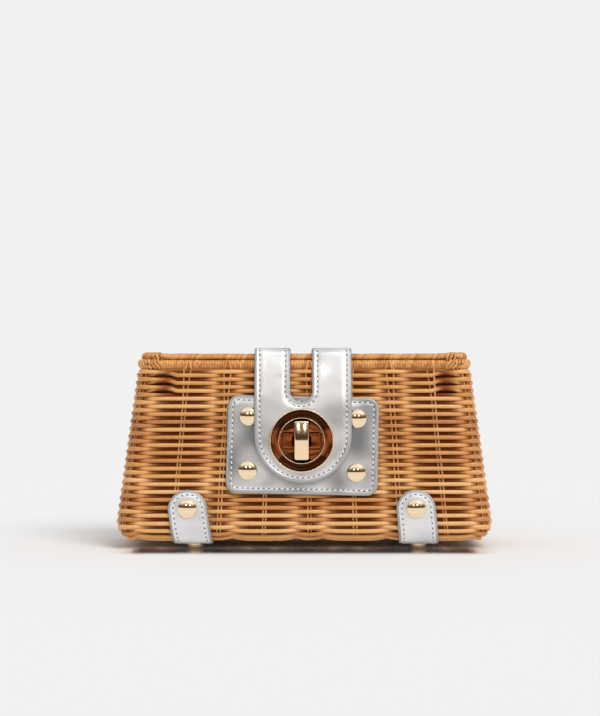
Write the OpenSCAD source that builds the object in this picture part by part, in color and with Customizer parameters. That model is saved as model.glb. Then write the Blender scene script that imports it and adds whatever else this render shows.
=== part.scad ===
// A small box bag of woven rattan. The wall leans inward on all four sides, a
// flat woven lid swings on two leather straps, and a leather flap is shut by a turn lock.
// X runs along the bag, Y from the front to the back and Z up from the floor.

/* [Basket] */
// Length of the basket where the wall meets its foot
basket_w = 236; // [210:2:270]
// Depth of the basket where the wall meets its foot
basket_d = 92; // [84:1:110]
// Height of the woven wall from its foot to the rim
wall_h = 105; // [92:1:125]
// Lean of each wall away from upright, in degrees
wall_lean = 7.6; // [5:0.1:8.5]
// Thickness of the woven wall
wall_t = 3.2; // [2.8:0.1:4]
// Radius of the rounded foot edge
foot_edge_r = 10; // [8:0.5:12]
// Corner radius of the basket at its foot
corner_r_low = 14; // [13:0.5:20]
// Corner radius of the basket at its rim
corner_r_top = 11; // [8:0.5:14]

/* [Weave] */
// Distance from one woven row to the next
row_pitch = 2.42; // [2.3:0.01:3.2]
// Distance between the stake pairs of the front and back
stake_pitch = 26.8; // [24:0.2:28]
// How far the front stakes stand to the right of the middle
stake_shift = 3; // [0:0.5:5]
// How far a row swings out over a stake
weave_swing = 0.9; // [0.6:0.05:1]
// How far a row dips in behind a stake
weave_dip = 1.6; // [0.8:0.05:1.7]
// Height of the ridge that each row makes
ridge_h = 0.4; // [0.2:0.05:0.5]
// Depth of the valley between two rows
valley_d = 1; // [0.4:0.05:1.2]
// Length of the open gaps at the upper corners
corner_gap_l = 8; // [5:0.5:9]
// Height of the open gaps at the upper corners
corner_gap_h = 2.6; // [1.5:0.1:3]

/* [Rim and lid] */
// Diameter of the wrapped roll on top of the wall
rim_d = 6; // [5:0.2:7]
// How far the rim roll stands in from the face of the wall
rim_inset = 2.6; // [2:0.1:3]
// Diameter of the wrapped roll round the lid
border_d = 5; // [4:0.2:6]
// How much shorter the lid is than the rim, on each side
lid_inset = 1.4; // [1:0.1:2]
// Thickness of the woven lid panel
lid_t = 3; // [2.4:0.1:3.6]

/* [Leather] */
// Thickness of the leather
leather_t = 1.6; // [1.2:0.1:1.8]
// Width of the closure flap
flap_w = 60.8; // [54:0.2:66]
// Radius of the round lower end of the flap
flap_end_r = 30.2; // [28:0.2:33]
// Height of the centre of the flap's round end
flap_end_z = 71.4; // [66:0.2:76]
// Width of the slit between the two arms of the flap
fork_w = 13.6; // [10:0.2:18]
// How far the slit stands to the left of the flap's middle
fork_shift = 1.2; // [0:0.1:3]
// Height of the lower end of the slit
fork_z = 91.6; // [90.5:0.1:97]
// Length of the plate of leather behind the lock
patch_w = 94; // [90:0.5:104]
// Height of the plate of leather behind the lock
patch_h = 61; // [56:0.5:66]
// Corner radius of the plate of leather
patch_r = 7; // [4:0.5:10]
// How far the plate is turned, in degrees
patch_turn = 1.2; // [0:0.1:2]
// Width of the foot straps
foot_strap_w = 24.4; // [20:0.2:28]
// Height of the rivets in the foot straps
foot_rivet_z = 25.2; // [23:0.2:32]
// Height of the rivets in the hinge straps
hinge_rivet_z = 94; // [84:0.5:98]

/* [Metal] */
// Diameter of the domed rivet caps
cap_d = 12; // [10:0.2:13]
// Height of the domed rivet caps
cap_h = 1.9; // [1.4:0.1:2]
// Diameter of the rivet shanks
shank_d = 2.8; // [2.2:0.1:3.2]
// Diameter of the flat caps inside the basket
inner_cap_d = 9; // [7:0.2:10]
// Distance between the rivets along the plate
rivet_span_w = 67.2; // [66.5:0.2:76]
// Distance between the rivets up the plate
rivet_span_h = 33.6; // [26:0.2:42]
// Height of the lock's middle on the front wall
lock_z = 66.6; // [62:0.2:69]
// Diameter of the lock ring
ring_d = 39.6; // [36:0.2:42]
// Height of the lock ring above the leather
ring_h = 2.6; // [2:0.1:3]
// Diameter of the sunk disc inside the ring
disc_d = 28; // [27.2:0.2:29]
// Length of the slot in the disc
slot_l = 24.8; // [22:0.2:25]
// Width of the slot in the disc
slot_w = 10.8; // [9.6:0.1:11.4]
// Gap between the slot and the tongue, on each side
tongue_gap = 0.6; // [0.5:0.05:0.8]
// Thickness of the tongue
tongue_t = 2.6; // [2:0.1:3]
// Height of the dome feet
foot_h = 3.2; // [2.6:0.1:5]
// Diameter of the dome feet
foot_d = 11; // [9:0.2:12]

/* [Hidden] */

$fn = 64;
wicker = [0.78, 0.56, 0.33];
silver = [0.78, 0.78, 0.79];
gold = [0.86, 0.72, 0.52];

// Gaps: between leather and weave, round a shank, and round the turning post.
seat_gap = 0.3;
hole_gap = 0.3;
post_gap = 0.05;

// Heights and half sizes of the basket
weave_out = weave_swing + ridge_h;
base_z = foot_h + leather_t + seat_gap + weave_out;
top_z = base_z + wall_h;
lean_tan = tan(wall_lean);
half_w = basket_w / 2;
half_d = basket_d / 2;
function wall_x(z) = half_w - (z - base_z) * lean_tan;
function wall_y(z) = half_d - (z - base_z) * lean_tan;

// Section of the wall, followed from the lip under the base up to the rim.
// It is an arc round the foot edge, then a straight run up the leaning wall.
edge_z = base_z + foot_edge_r;
edge_inset = foot_edge_r * lean_tan + foot_edge_r / cos(wall_lean);
arc_len = foot_edge_r * (90 + wall_lean) * PI / 180;
straight_len = (top_z - edge_z - foot_edge_r * sin(wall_lean)) / cos(wall_lean);
section_len = arc_len + straight_len;
function tilt_at(s) = s < arc_len ? -90 + s / foot_edge_r * 180 / PI : wall_lean;
function climb_at(s) = max(0, s - arc_len);
function inset_at(s, w) = edge_inset - (foot_edge_r + w) * cos(tilt_at(s))
    + climb_at(s) * sin(wall_lean);
function height_at(s, w) = edge_z + (foot_edge_r + w) * sin(tilt_at(s))
    + climb_at(s) * cos(wall_lean);

// Plan of the wall. A station is [mx, my, nx, ny, swing]: where it stands on the
// straight sides, from -1 to 1, which way it faces, and how a row swings there:
// 1 or -1 at a stake, and 0 where a corner starts or ends.
mid_run = wall_x((base_z + top_z) / 2) - (corner_r_low + corner_r_top) / 2;
front_stakes = 7;
side_stakes = 2;
function stake_share(k, shift) = ((k - (front_stakes - 1) / 2) * stake_pitch + shift) / mid_run;
function alternate(k) = k % 2 == 0 ? 1 : -1;
function long_side(way, shift) = [
    for (k = [0 : front_stakes - 1])
        [-way * stake_share(k, shift), way, 0, way, -way * alternate(k)]
];
function short_side(way) = [
    for (k = [0 : side_stakes - 1]) [way, way * (k - 0.5), way, 0, way * alternate(k)]
];
function corner(cx, cy, from) = [
    for (a = [0, 45, 90]) [cx, cy, cos(from + a), sin(from + a), a == 45 ? cy : 0]
];
stations = concat(
    long_side(-1, stake_shift), corner(1, -1, -90), short_side(1), corner(1, 1, 0),
    long_side(1, 0), corner(-1, 1, 90), short_side(-1), corner(-1, -1, 180)
);

// A point of the wall at a station, s along the section and w out from its face
function wall_corner_r(z) = corner_r_low + (corner_r_top - corner_r_low) * (z - base_z) / wall_h;
function corner_r_at(s) = wall_corner_r(height_at(s, 0))
    - max(0, edge_inset - foot_edge_r * cos(tilt_at(s)) - (height_at(s, 0) - base_z) * lean_tan)
    * (s < arc_len ? 1 : 0);
function wall_point(st, s, w) =
    let (r = max(1, corner_r_at(s)))
    let (inset = inset_at(s, 0))
    let (out = w * cos(tilt_at(s)))
    [
        st[0] * (half_w - inset - r) + st[2] * (r + out),
        st[1] * (half_d - inset - r) + st[3] * (r + out),
        height_at(s, w)
    ];

// Weave: even rings are the valleys between two rows and odd rings the crests
rows = round(section_len / row_pitch);
rings_out = 2 * rows + 1;
function swing_at(ring, st) = st[4] * alternate((ring - 1) / 2);
function weave_at(ring, st) = ring % 2 == 0 ? -valley_d
    : ridge_h + (swing_at(ring, st) > 0 ? weave_swing : weave_dip) * swing_at(ring, st);
lining_rings = [section_len, arc_len, arc_len * 2 / 3, arc_len / 3, 0];

// Faces of a closed band of rings, each ring a loop of n points. All quads are
// split in two, and the last ring joins the first.
function band_faces(rings, n) = [
    for (j = [0 : rings - 1], i = [0 : n - 1], half = [0 : 1])
        let (a = j * n + i, b = j * n + (i + 1) % n)
        let (c = (j + 1) % rings * n + i, d = (j + 1) % rings * n + (i + 1) % n)
        half == 0 ? [a, c, b] : [b, c, d]
];

module weave_band() {
    n = len(stations);
    outside = [
        for (j = [0 : rings_out - 1], i = [0 : n - 1])
            wall_point(stations[i], section_len * j / (rings_out - 1), weave_at(j, stations[i]))
    ];
    lining = [for (s = lining_rings, st = stations) wall_point(st, s, -wall_t)];
    polyhedron(concat(outside, lining), band_faces(rings_out + len(lining_rings), n));
}

// Puts a flat drawing on the front wall at x and z. Its z axis points out of
// the wall, and its y axis runs up the wall.
module on_front(x, z) {
    translate([x, -wall_y(z), z]) rotate([90 - wall_lean, 0, 0]) children();
}

module on_back(x, z) {
    rotate([0, 0, 180]) on_front(-x, z) children();
}

// Puts a drawing of the plane x = 0 upright, and draws it out to both sides
module along_x(from, to) {
    translate([from, 0, 0]) rotate([90, 0, 90]) linear_extrude(to - from) children();
}

// Draws the front view out through the whole depth of the bag
module through_y(depth) {
    translate([0, depth / 2, 0]) rotate([90, 0, 0]) linear_extrude(depth) children();
}

// Layers on the front wall, counted outward from the face of the weave
leather_w = weave_out + seat_gap;
patch_top = leather_w + leather_t;
plate_t = 0.7;
plate_gap = 0.4;
flap_in = patch_top + plate_t + plate_gap + plate_t;
flap_out = flap_in + leather_t;

// Rolls of the rim and the lid
rim_r = rim_d / 2;
border_r = border_d / 2;
rim_z = top_z + seat_gap + rim_r;
rim_x = wall_x(rim_z) - rim_inset;
rim_y = wall_y(rim_z) - rim_inset;
border_z = rim_z + rim_r + seat_gap + border_r;
border_x = rim_x - lid_inset;
border_y = rim_y - lid_inset;
roll_corner_r = corner_r_top - rim_inset;

// The leather bends over the front of the lid, runs down past the rim, and
// then lies along the wall. bend_tilt is its tilt between the lid and the wall:
// it clears both rolls by the seat gap.
roll_dy = rim_y - border_y;
roll_dz = border_z - rim_z;
bend_tilt = atan2(roll_dy, roll_dz) + asin((rim_r - border_r) / norm([roll_dy, roll_dz]));
bend_in = border_r + seat_gap;
bend_mid = bend_in + leather_t / 2;
bend_out = bend_in + leather_t;
fold_y = -border_y - bend_mid * cos(bend_tilt);
fold_z = border_z + bend_mid * sin(bend_tilt);

// Length of the bridging run from the fold to a face that is w off the wall
function off_wall(y, z) = (-y - wall_y(z)) * cos(wall_lean);
function bridge_len(w, side) =
    (w - off_wall(fold_y - side * cos(bend_tilt), fold_z + side * sin(bend_tilt)))
    / sin(bend_tilt - wall_lean);

// A point of the bridging run, s below the fold and side off its middle
function bridge_point(s, side) = [
    fold_y - s * sin(bend_tilt) - side * cos(bend_tilt),
    fold_z - s * cos(bend_tilt) + side * sin(bend_tilt)
];
function wall_face(z, w) = [-wall_y(z) - w / cos(wall_lean), z];

// Side view of leather that bridges from the fold to the wall and ends at
// height z_low. w is how far its inner face lies off the wall. The points in
// crown close it above the fold, from the outer face to the inner one.
module hanging_profile(w, z_low, crown) {
    h = leather_t / 2;
    polygon(concat(
        [
            bridge_point(bridge_len(w, -h), -h), wall_face(z_low, w),
            wall_face(z_low, w + leather_t), bridge_point(bridge_len(w + leather_t, h), h)
        ],
        crown
    ));
}

// Arc of points round a centre in the side view. Angles rise from the front.
arc_steps = 8;
function side_arc(y, z, r, from, to) = [
    for (i = [0 : arc_steps])
        let (a = from + (to - from) * i / arc_steps)
        [y - r * cos(a), z + r * sin(a)]
];
function bend_arc(r, from, to) = side_arc(-border_y, border_z, r, from, to);
function mirrored(points) = [for (i = [len(points) - 1 : -1 : 0]) [-points[i][0], points[i][1]]];

module rounded_plate(w, h, r) {
    square([w - 2 * r, h], center = true);
    square([w, h - 2 * r], center = true);
    for (x = [-1, 1], y = [-1, 1]) translate([x * (w / 2 - r), y * (h / 2 - r)]) circle(r);
}

// Basket

hole_d = shank_d + 2 * hole_gap;
hole_l = 30;
wall_hole_sides = 12;

gap_rows = [0, 1, 2];
gap_step = 2 * row_pitch;
gap_first_z = top_z - 3.4;
pin_rows = [0 : 6];
pin_step = 4 * row_pitch;
pin_gap_l = 3;
pin_gap_h = 1.2;

// A slit with pointed ends, drawn flat
module slit(l, h) linear_extrude(hole_l, center = true) polygon([
    [-l / 2, 0], [-l / 4, -h / 2], [l / 4, -h / 2], [l / 2, 0], [l / 4, h / 2], [-l / 4, h / 2]
]);

// The front is open at its upper corners. Below them, front and back have small
// gaps near the corners.
module corner_gaps() {
    for (side = [-1, 1], k = gap_rows) {
        z = gap_first_z - k * gap_step;
        on_front(side * (wall_x(z) - corner_r_top), z) slit(corner_gap_l, corner_gap_h);
    }
    for (side = [-1, 1], k = pin_rows) {
        z = gap_first_z - len(gap_rows) * gap_step - k * pin_step;
        on_front(side * (wall_x(z) - corner_r_top / 2), z) slit(pin_gap_l, pin_gap_h);
        on_back(side * (wall_x(z) - corner_r_top / 2), z) slit(pin_gap_l, pin_gap_h);
    }
}

// Openings beside the stakes, in a plain grid over the bare weave. One row in
// every few is open.
open_first = 12;
open_step = 6;
open_l = 6;
open_h = 1.5;
function stake_x(k, shift, z) = stake_share(k, shift) * (wall_x(z) - wall_corner_r(z));
function clear_of(x, z, box_x, box_z, box_w, box_h) =
    abs(x - box_x) > (box_w + open_l) / 2 || abs(z - box_z) > (box_h + open_h) / 2;
function clear_of_strap(side, x, z) =
    clear_of(x, z, foot_rivet_x(side), 0, foot_strap_w, 2 * foot_rivet_z + foot_strap_w);
function clear_of_arm(side, x, z, low_z) =
    clear_of(x, z, arm_x(side), top_z, arm_w(side), 2 * (top_z - low_z));
function bare(way, x, z) = clear_of_strap(-1, x, z) && clear_of_strap(1, x, z)
    && (way > 0 ? clear_of_arm(-1, x, z, hinge_rivet_z - arm_w(-1) / 2)
            && clear_of_arm(1, x, z, hinge_rivet_z - arm_w(1) / 2)
        : clear_of_arm(-1, x, z, fork_z) && clear_of_arm(1, x, z, fork_z)
            && clear_of(x, z, patch_x, patch_z, patch_w, patch_h));

module weave_openings() {
    for (j = [open_first : open_step : rows - 1], k = [0 : front_stakes - 1]) {
        z = height_at(section_len * j / rows, 0);
        front_x = stake_x(k, stake_shift, z);
        back_x = stake_x(k, 0, z);
        if (bare(-1, front_x, z)) on_front(front_x, z) slit(open_l, open_h);
        if (bare(1, back_x, z)) on_back(back_x, z) slit(open_l, open_h);
    }
}

module shank_hole(sides = 64) {
    cylinder(d = hole_d, h = hole_l, center = true, $fn = sides);
}

module basket_wall() color(wicker) difference() {
    weave_band();
    corner_gaps();
    weave_openings();
    for (x = [-1, 1], y = [-1, 1]) at_patch_rivet(x, y) shank_hole(wall_hole_sides);
    at_lock() prong_holes();
    for (side = [-1, 1]) {
        on_front(foot_rivet_x(side), foot_rivet_z) shank_hole(wall_hole_sides);
        on_back(foot_rivet_x(side), foot_rivet_z) shank_hole(wall_hole_sides);
        on_back(arm_x(side), hinge_rivet_z) shank_hole(wall_hole_sides);
    }
}

// Base: reeds laid side by side along the bag
base_gap = 0.3;
base_half_w = half_w - edge_inset - base_gap;
base_half_d = half_d - edge_inset - base_gap;
reeds = round(2 * base_half_d / (2 * row_pitch));
reed_pitch = 2 * base_half_d / reeds;

module basket_base() color(wicker) difference() {
    intersection() {
        translate([0, 0, base_z - ridge_h])
            linear_extrude(wall_t + 2 * ridge_h)
            rounded_plate(2 * base_half_w, 2 * base_half_d, max(1, corner_r_at(0) - base_gap));
        along_x(-half_w, half_w) polygon(concat(
            [for (k = [0 : 2 * reeds])
                [k * reed_pitch / 2 - base_half_d, base_z + (k % 2 == 0 ? ridge_h : -ridge_h)]],
            [[base_half_d, base_z + wall_t], [-base_half_d, base_z + wall_t]]
        ));
    }
    for (side = [-1, 1], way = [-1, 1]) at_foot(side, way) shank_hole();
}

// A roll that runs round a rounded rectangle. Where a stake ends under it, a
// lashing makes it a little thicker.
roll_sides = 10;
lash_w = 3.6;
function lashed(way, shift, hx, r) = [
    for (k = [0 : front_stakes - 1], e = [[-1, 0], [-0.6, 1], [0.6, 1], [1, 0]])
        [-way * (stake_share(k, shift) + e[0] * lash_w / 2 / (hx - r)), way, 0, way, e[1]]
];
function roll_corner(cx, cy, from) = [
    for (a = [0 : 22.5 : 90]) [cx, cy, cos(from + a), sin(from + a), 0]
];
function roll_stations(front, back) = concat(
    front, roll_corner(1, -1, -90), roll_corner(1, 1, 0),
    back, roll_corner(-1, 1, 90), roll_corner(-1, -1, 180)
);

module roll(hx, hy, r, d, path, lash_h) {
    points = [
        for (st = path, k = [0 : roll_sides - 1])
            let (a = 360 * (k + 0.5) / roll_sides, q = d / 2 + st[4] * lash_h)
            [
                st[0] * (hx - r) + st[2] * (r + q * cos(a)),
                st[1] * (hy - r) + st[3] * (r + q * cos(a)),
                q * sin(a)
            ]
    ];
    polyhedron(points, band_faces(len(path), roll_sides));
}

lash_h = 0.25;

module basket_rim() color(wicker) translate([0, 0, rim_z]) roll(
    rim_x, rim_y, roll_corner_r, rim_d - 2 * lash_h,
    roll_stations(
        lashed(-1, stake_shift, rim_x, roll_corner_r), lashed(1, 0, rim_x, roll_corner_r)
    ),
    lash_h
);

// Lid

panel_gap = 0.3;
panel_half_w = border_x - border_r - panel_gap;
panel_half_d = border_y - border_r - panel_gap;
panel_corner_r = max(1, roll_corner_r - border_r);
panel_z = border_z - lid_t / 2;
panel_rows = round(2 * panel_half_d / row_pitch);
panel_lines = 2 * panel_rows + 1;
panel_cols = 2 * front_stakes + 3;

// Half the length of the panel at a distance y from its middle
function panel_reach(y) =
    let (past = max(0, abs(y) - (panel_half_d - panel_corner_r)))
    panel_half_w - panel_corner_r + sqrt(max(0, pow(panel_corner_r, 2) - pow(past, 2)));

module lid_panel() {
    n = panel_cols;
    function y_of(j) = panel_half_d * (2 * j / (panel_lines - 1) - 1);
    function x_of(i, j) = panel_reach(y_of(j)) * (2 * i / (n - 1) - 1);
    function lift(i, j) = j == 0 || j == panel_lines - 1 || i == 0 || i == n - 1 ? 0
        : j % 2 == 0 ? -ridge_h
        : ridge_h + (i % 2 == 1 ? 0 : ((i + j - 1) / 2 % 2 == 0 ? 1 : -1) * weave_swing * 0.6);
    top = [
        for (j = [0 : panel_lines - 1], i = [0 : n - 1])
            [x_of(i, j), y_of(j), panel_z + lid_t - 2 * ridge_h + lift(i, j)]
    ];
    rim_index = concat(
        [for (i = [0 : n - 1]) i],
        [for (j = [1 : panel_lines - 1]) j * n + n - 1],
        [for (i = [n - 2 : -1 : 0]) (panel_lines - 1) * n + i],
        [for (j = [panel_lines - 2 : -1 : 1]) j * n]
    );
    low = [for (k = rim_index) [top[k][0], top[k][1], panel_z]];
    m = len(rim_index);
    first_low = len(top);
    top_faces = [
        for (j = [0 : panel_lines - 2], i = [0 : n - 2], half = [0 : 1])
            let (a = j * n + i)
            half == 0 ? [a, a + n, a + 1] : [a + 1, a + n, a + n + 1]
    ];
    side_faces = [
        for (k = [0 : m - 1], half = [0 : 1])
            let (a = rim_index[k], b = rim_index[(k + 1) % m])
            let (c = first_low + k, d = first_low + (k + 1) % m)
            half == 0 ? [a, b, c] : [b, d, c]
    ];
    last = panel_lines - 1;
    function low_right(j) = first_low + n - 1 + j;
    function low_left(j) = first_low + m - j;
    under_faces = concat(
        [for (i = [0 : n - 2]) [low_left(1), first_low + i, first_low + i + 1]],
        [[low_left(1), first_low + n - 1, low_right(1)]],
        [
            for (j = [1 : last - 2], half = [0 : 1])
                half == 0 ? [low_left(j), low_right(j), low_left(j + 1)]
                : [low_right(j), low_right(j + 1), low_left(j + 1)]
        ],
        [[low_left(last - 1), low_right(last - 1), low_right(last)]],
        [for (i = [0 : n - 2]) [low_left(last - 1), low_right(last) + i, low_right(last) + i + 1]]
    );
    color(wicker) polyhedron(concat(top, low), concat(top_faces, side_faces, under_faces));
}

module lid_border() color(wicker) translate([0, 0, border_z])
    roll(border_x, border_y, roll_corner_r, border_d, roll_stations([], []), 0);

// Leather

flap_x = -0.8;
patch_x = flap_x - 0.3;
patch_z = 64.6;
arm_in_left = flap_x - fork_shift - fork_w / 2;
arm_in_right = flap_x - fork_shift + fork_w / 2;
arm_out_left = flap_x - flap_w / 2;
arm_out_right = flap_x + flap_w / 2;
function arm_x(side) = side < 0 ? (arm_in_left + arm_out_left) / 2 : (arm_in_right + arm_out_right) / 2;
function arm_w(side) = side < 0 ? arm_in_left - arm_out_left : arm_out_right - arm_in_right;

// Front view of the flap: two arms, a slit with a round end, and a round shield.
// The shield narrows a little to its round end.
module flap_outline() difference() {
    union() {
        translate([flap_x, flap_end_z]) circle(flap_end_r);
        polygon([
            [arm_out_left, fold_z + leather_t], [arm_out_left, flap_end_z + 6],
            [flap_x - flap_end_r, flap_end_z], [flap_x + flap_end_r, flap_end_z],
            [arm_out_right, flap_end_z + 6], [arm_out_right, fold_z + leather_t]
        ]);
    }
    translate([flap_x - fork_shift, fork_z + fork_w / 2]) circle(d = fork_w);
    translate([arm_in_left, fork_z + fork_w / 2]) square([fork_w, 2 * wall_h]);
}

module closure_flap() color(silver) difference() {
    intersection() {
        through_y(2 * basket_d) flap_outline();
        along_x(-basket_w, basket_w) hanging_profile(
            flap_in, base_z,
            side_arc(fold_y, fold_z, leather_t / 2, bend_tilt, bend_tilt + 180)
        );
    }
    at_lock() translate([0, 0, patch_top]) linear_extrude(hole_l) slot_shape(sleeve_t + hole_gap);
}

strap_end = 45;
hinge_part = 6;

module lid_strap(side) color(silver)
    along_x(arm_x(side) - arm_w(side) / 2, arm_x(side) + arm_w(side) / 2)
        polygon(concat(
            bend_arc(bend_out, strap_end, 90), mirrored(bend_arc(bend_out, strap_end, 90)),
            mirrored(bend_arc(bend_in, 90, strap_end)), bend_arc(bend_in, 90, strap_end)
        ));

module lock_patch() color(silver) difference() {
    at_patch() translate([0, 0, leather_w]) linear_extrude(leather_t)
        rounded_plate(patch_w, patch_h, patch_r);
    for (x = [-1, 1], y = [-1, 1]) at_patch_rivet(x, y) shank_hole();
    at_lock() cylinder(d = post_head_d + 2 * hole_gap, h = hole_l, center = true);
    at_lock() prong_holes();
}

// A strap over the hinge: it starts on the lid's back roll and ends in a half
// round under its rivet
module hinge_strap(side) color(silver) difference() {
    intersection() {
        rotate([0, 0, 180]) along_x(-basket_w, basket_w) hanging_profile(
            leather_w, base_z,
            concat(
                bend_arc(bend_out, bend_tilt, strap_end - hinge_part),
                bend_arc(bend_in, strap_end - hinge_part, bend_tilt)
            )
        );
        through_y(2 * basket_d) {
            translate([arm_x(side), hinge_rivet_z]) circle(d = arm_w(side));
            translate([arm_x(side) - arm_w(side) / 2, hinge_rivet_z])
                square([arm_w(side), wall_h]);
        }
        translate([0, wall_h, 0]) cube([basket_w, 2 * wall_h, 4 * wall_h], center = true);
    }
    on_back(arm_x(side), hinge_rivet_z) shank_hole();
}

// Foot straps go down the front, under the base and up the back. Each runs a
// little askew: its lower end stands further right than its rivet.
foot_x_left = -0.578 * half_w;
foot_x_right = 0.605 * half_w;
rivet_lag_left = 4;
rivet_lag_right = 2.4;
function foot_x(side) = side < 0 ? foot_x_left : foot_x_right;
function foot_rivet_x(side) = foot_x(side) - (side < 0 ? rivet_lag_left : rivet_lag_right);

// Outline of the basket's cross section, w outside the face of the weave
module section_outline(w) {
    steps = 12;
    edge = [
        for (i = [0 : steps])
            let (a = -90 + (90 + wall_lean) * i / steps)
            [half_d - edge_inset + (foot_edge_r + w) * cos(a), edge_z + (foot_edge_r + w) * sin(a)]
    ];
    upper = wall_face(top_z, w);
    right = concat(edge, [[-upper[0], upper[1]]]);
    left = [for (i = [len(right) - 1 : -1 : 0]) [-right[i][0], right[i][1]]];
    polygon(concat(right, left));
}

module foot_strap(side) {
    top_x = foot_rivet_x(side);
    low_x = foot_x(side);
    half = foot_strap_w / 2;
    color(silver) difference() {
        intersection() {
            along_x(-basket_w, basket_w) difference() {
                section_outline(leather_w + leather_t);
                section_outline(leather_w);
            }
            through_y(2 * basket_d) {
                translate([top_x, foot_rivet_z]) circle(half);
                polygon([
                    [top_x - half, foot_rivet_z], [low_x - half, 0],
                    [low_x + half, 0], [top_x + half, foot_rivet_z]
                ]);
            }
        }
        on_front(top_x, foot_rivet_z) shank_hole();
        on_back(top_x, foot_rivet_z) shank_hole();
        for (way = [-1, 1]) at_foot(side, way) shank_hole();
    }
}

// Rivets

// Domed cap with its shank. z = 0 is the face that it sits on, and the shank
// reaches depth below it.
module rivet(depth) {
    sphere_r = (pow(cap_d / 2, 2) + pow(cap_h, 2)) / (2 * cap_h);
    edge_h = 0.4;
    color(gold) {
        intersection() {
            translate([0, 0, cap_h - sphere_r]) sphere(sphere_r);
            cylinder(d = cap_d - edge_h, h = 2 * cap_h);
        }
        translate([0, 0, -depth]) cylinder(d = shank_d, h = depth + edge_h);
    }
}

// Flat cap with a turned edge. z = 0 is the face against the weave.
module inner_cap() color(gold) {
    edge = 0.4;
    rotate_extrude() polygon([
        [0, 0], [inner_cap_d / 2, 0], [inner_cap_d / 2, -edge],
        [inner_cap_d / 2 - edge, -2 * edge], [0, -2 * edge]
    ]);
}

rivet_depth = leather_t + leather_w + wall_t;

module at_patch() on_front(patch_x, patch_z) rotate(-patch_turn) children();

module at_patch_rivet(x, y)
    at_patch() translate([x * rivet_span_w / 2, y * rivet_span_h / 2, 0]) children();

module patch_rivet(x, y) at_patch_rivet(x, y) translate([0, 0, patch_top]) rivet(rivet_depth);

module patch_cap(x, y) at_patch_rivet(x, y) translate([0, 0, -wall_t]) inner_cap();

module foot_rivet(side, way) {
    if (way < 0)
        on_front(foot_rivet_x(side), foot_rivet_z) translate([0, 0, patch_top]) rivet(rivet_depth);
    else
        on_back(foot_rivet_x(side), foot_rivet_z) translate([0, 0, patch_top]) rivet(rivet_depth);
}

module foot_cap(side, way) {
    if (way < 0)
        on_front(foot_rivet_x(side), foot_rivet_z) translate([0, 0, -wall_t]) inner_cap();
    else
        on_back(foot_rivet_x(side), foot_rivet_z) translate([0, 0, -wall_t]) inner_cap();
}

module hinge_rivet(side)
    on_back(arm_x(side), hinge_rivet_z) translate([0, 0, patch_top]) rivet(rivet_depth);

module hinge_cap(side)
    on_back(arm_x(side), hinge_rivet_z) translate([0, 0, -wall_t]) inner_cap();

// Feet

foot_in = edge_inset + foot_d / 2 + seat_gap;

module at_foot(side, way) translate([foot_x(side), way * (half_d - foot_in), 0]) children();

// Dome foot with a small flat to stand on. Its shank goes up through the strap
// and the base.
module foot(side, way) at_foot(side, way) color(gold) {
    flat_r = 2.4;
    steps = 8;
    rotate_extrude() polygon(concat(
        [[0, 0], [flat_r, 0]],
        [for (i = [1 : steps])
            let (a = 90 * i / steps)
            [flat_r + (foot_d / 2 - flat_r) * sin(a), foot_h * (1 - cos(a))]],
        [[0, foot_h]]
    ));
    translate([0, 0, foot_h / 2]) cylinder(d = shank_d, h = base_z + wall_t - foot_h / 2);
}

module foot_nut(side, way)
    at_foot(side, way) translate([0, 0, base_z + wall_t]) mirror([0, 0, 1]) inner_cap();

// Lock

lock_x = -1.7;
slot_r = 2;
boss_gap = 0.2;
tongue_l = slot_l - tongue_gap;
tongue_w = slot_w - 2 * tongue_gap;
tongue_draft = 0.6;
disc_t = 0.6;
disc_top = flap_out + disc_t;
sleeve_t = 0.7;
base_d = 36;
post_d = 4;
post_head_d = 6.4;
post_head_t = 0.7;
prong_x = 13;
prong_w = 3.2;
prong_t = 0.8;
prong_foot_l = 5;
tongue_low = disc_top + 0.5;
post_low = patch_top - boss_gap - post_head_t;

module at_lock() on_front(lock_x, lock_z) children();

// Outline of the slot, wider by a margin all round
module slot_shape(margin)
    rounded_plate(slot_l + 2 * margin, slot_w + 2 * margin, slot_r + margin);

module prong_holes() for (x = [-1, 1]) translate([x * prong_x, 0, 0])
    cube([prong_w + 2 * hole_gap, prong_t + 2 * hole_gap, hole_l], center = true);

// Plate on the leather, with a long boss that fills the slot, a bore for the
// post and two prongs that are folded over behind the washer
module lock_base() at_lock() color(gold) {
    difference() {
        union() {
            translate([0, 0, patch_top]) cylinder(d = base_d, h = plate_t);
            translate([0, 0, patch_top]) linear_extrude(disc_top - boss_gap - patch_top)
                slot_shape(-tongue_gap);
        }
        cylinder(d = post_d + 2 * post_gap, h = hole_l);
    }
    for (x = [-1, 1]) {
        translate([x * prong_x - prong_w / 2, -prong_t / 2, -wall_t - plate_t - prong_t])
            cube([prong_w, prong_t, wall_t + plate_t + prong_t + patch_top + plate_t / 2]);
        translate([x * prong_x - prong_w / 2, -prong_t / 2, -wall_t - plate_t - prong_t])
            cube([prong_w, prong_foot_l, prong_t]);
    }
}

module lock_washer() at_lock() color(gold) translate([0, 0, -wall_t - plate_t]) difference() {
    cylinder(d = base_d, h = plate_t);
    prong_holes();
}

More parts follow.
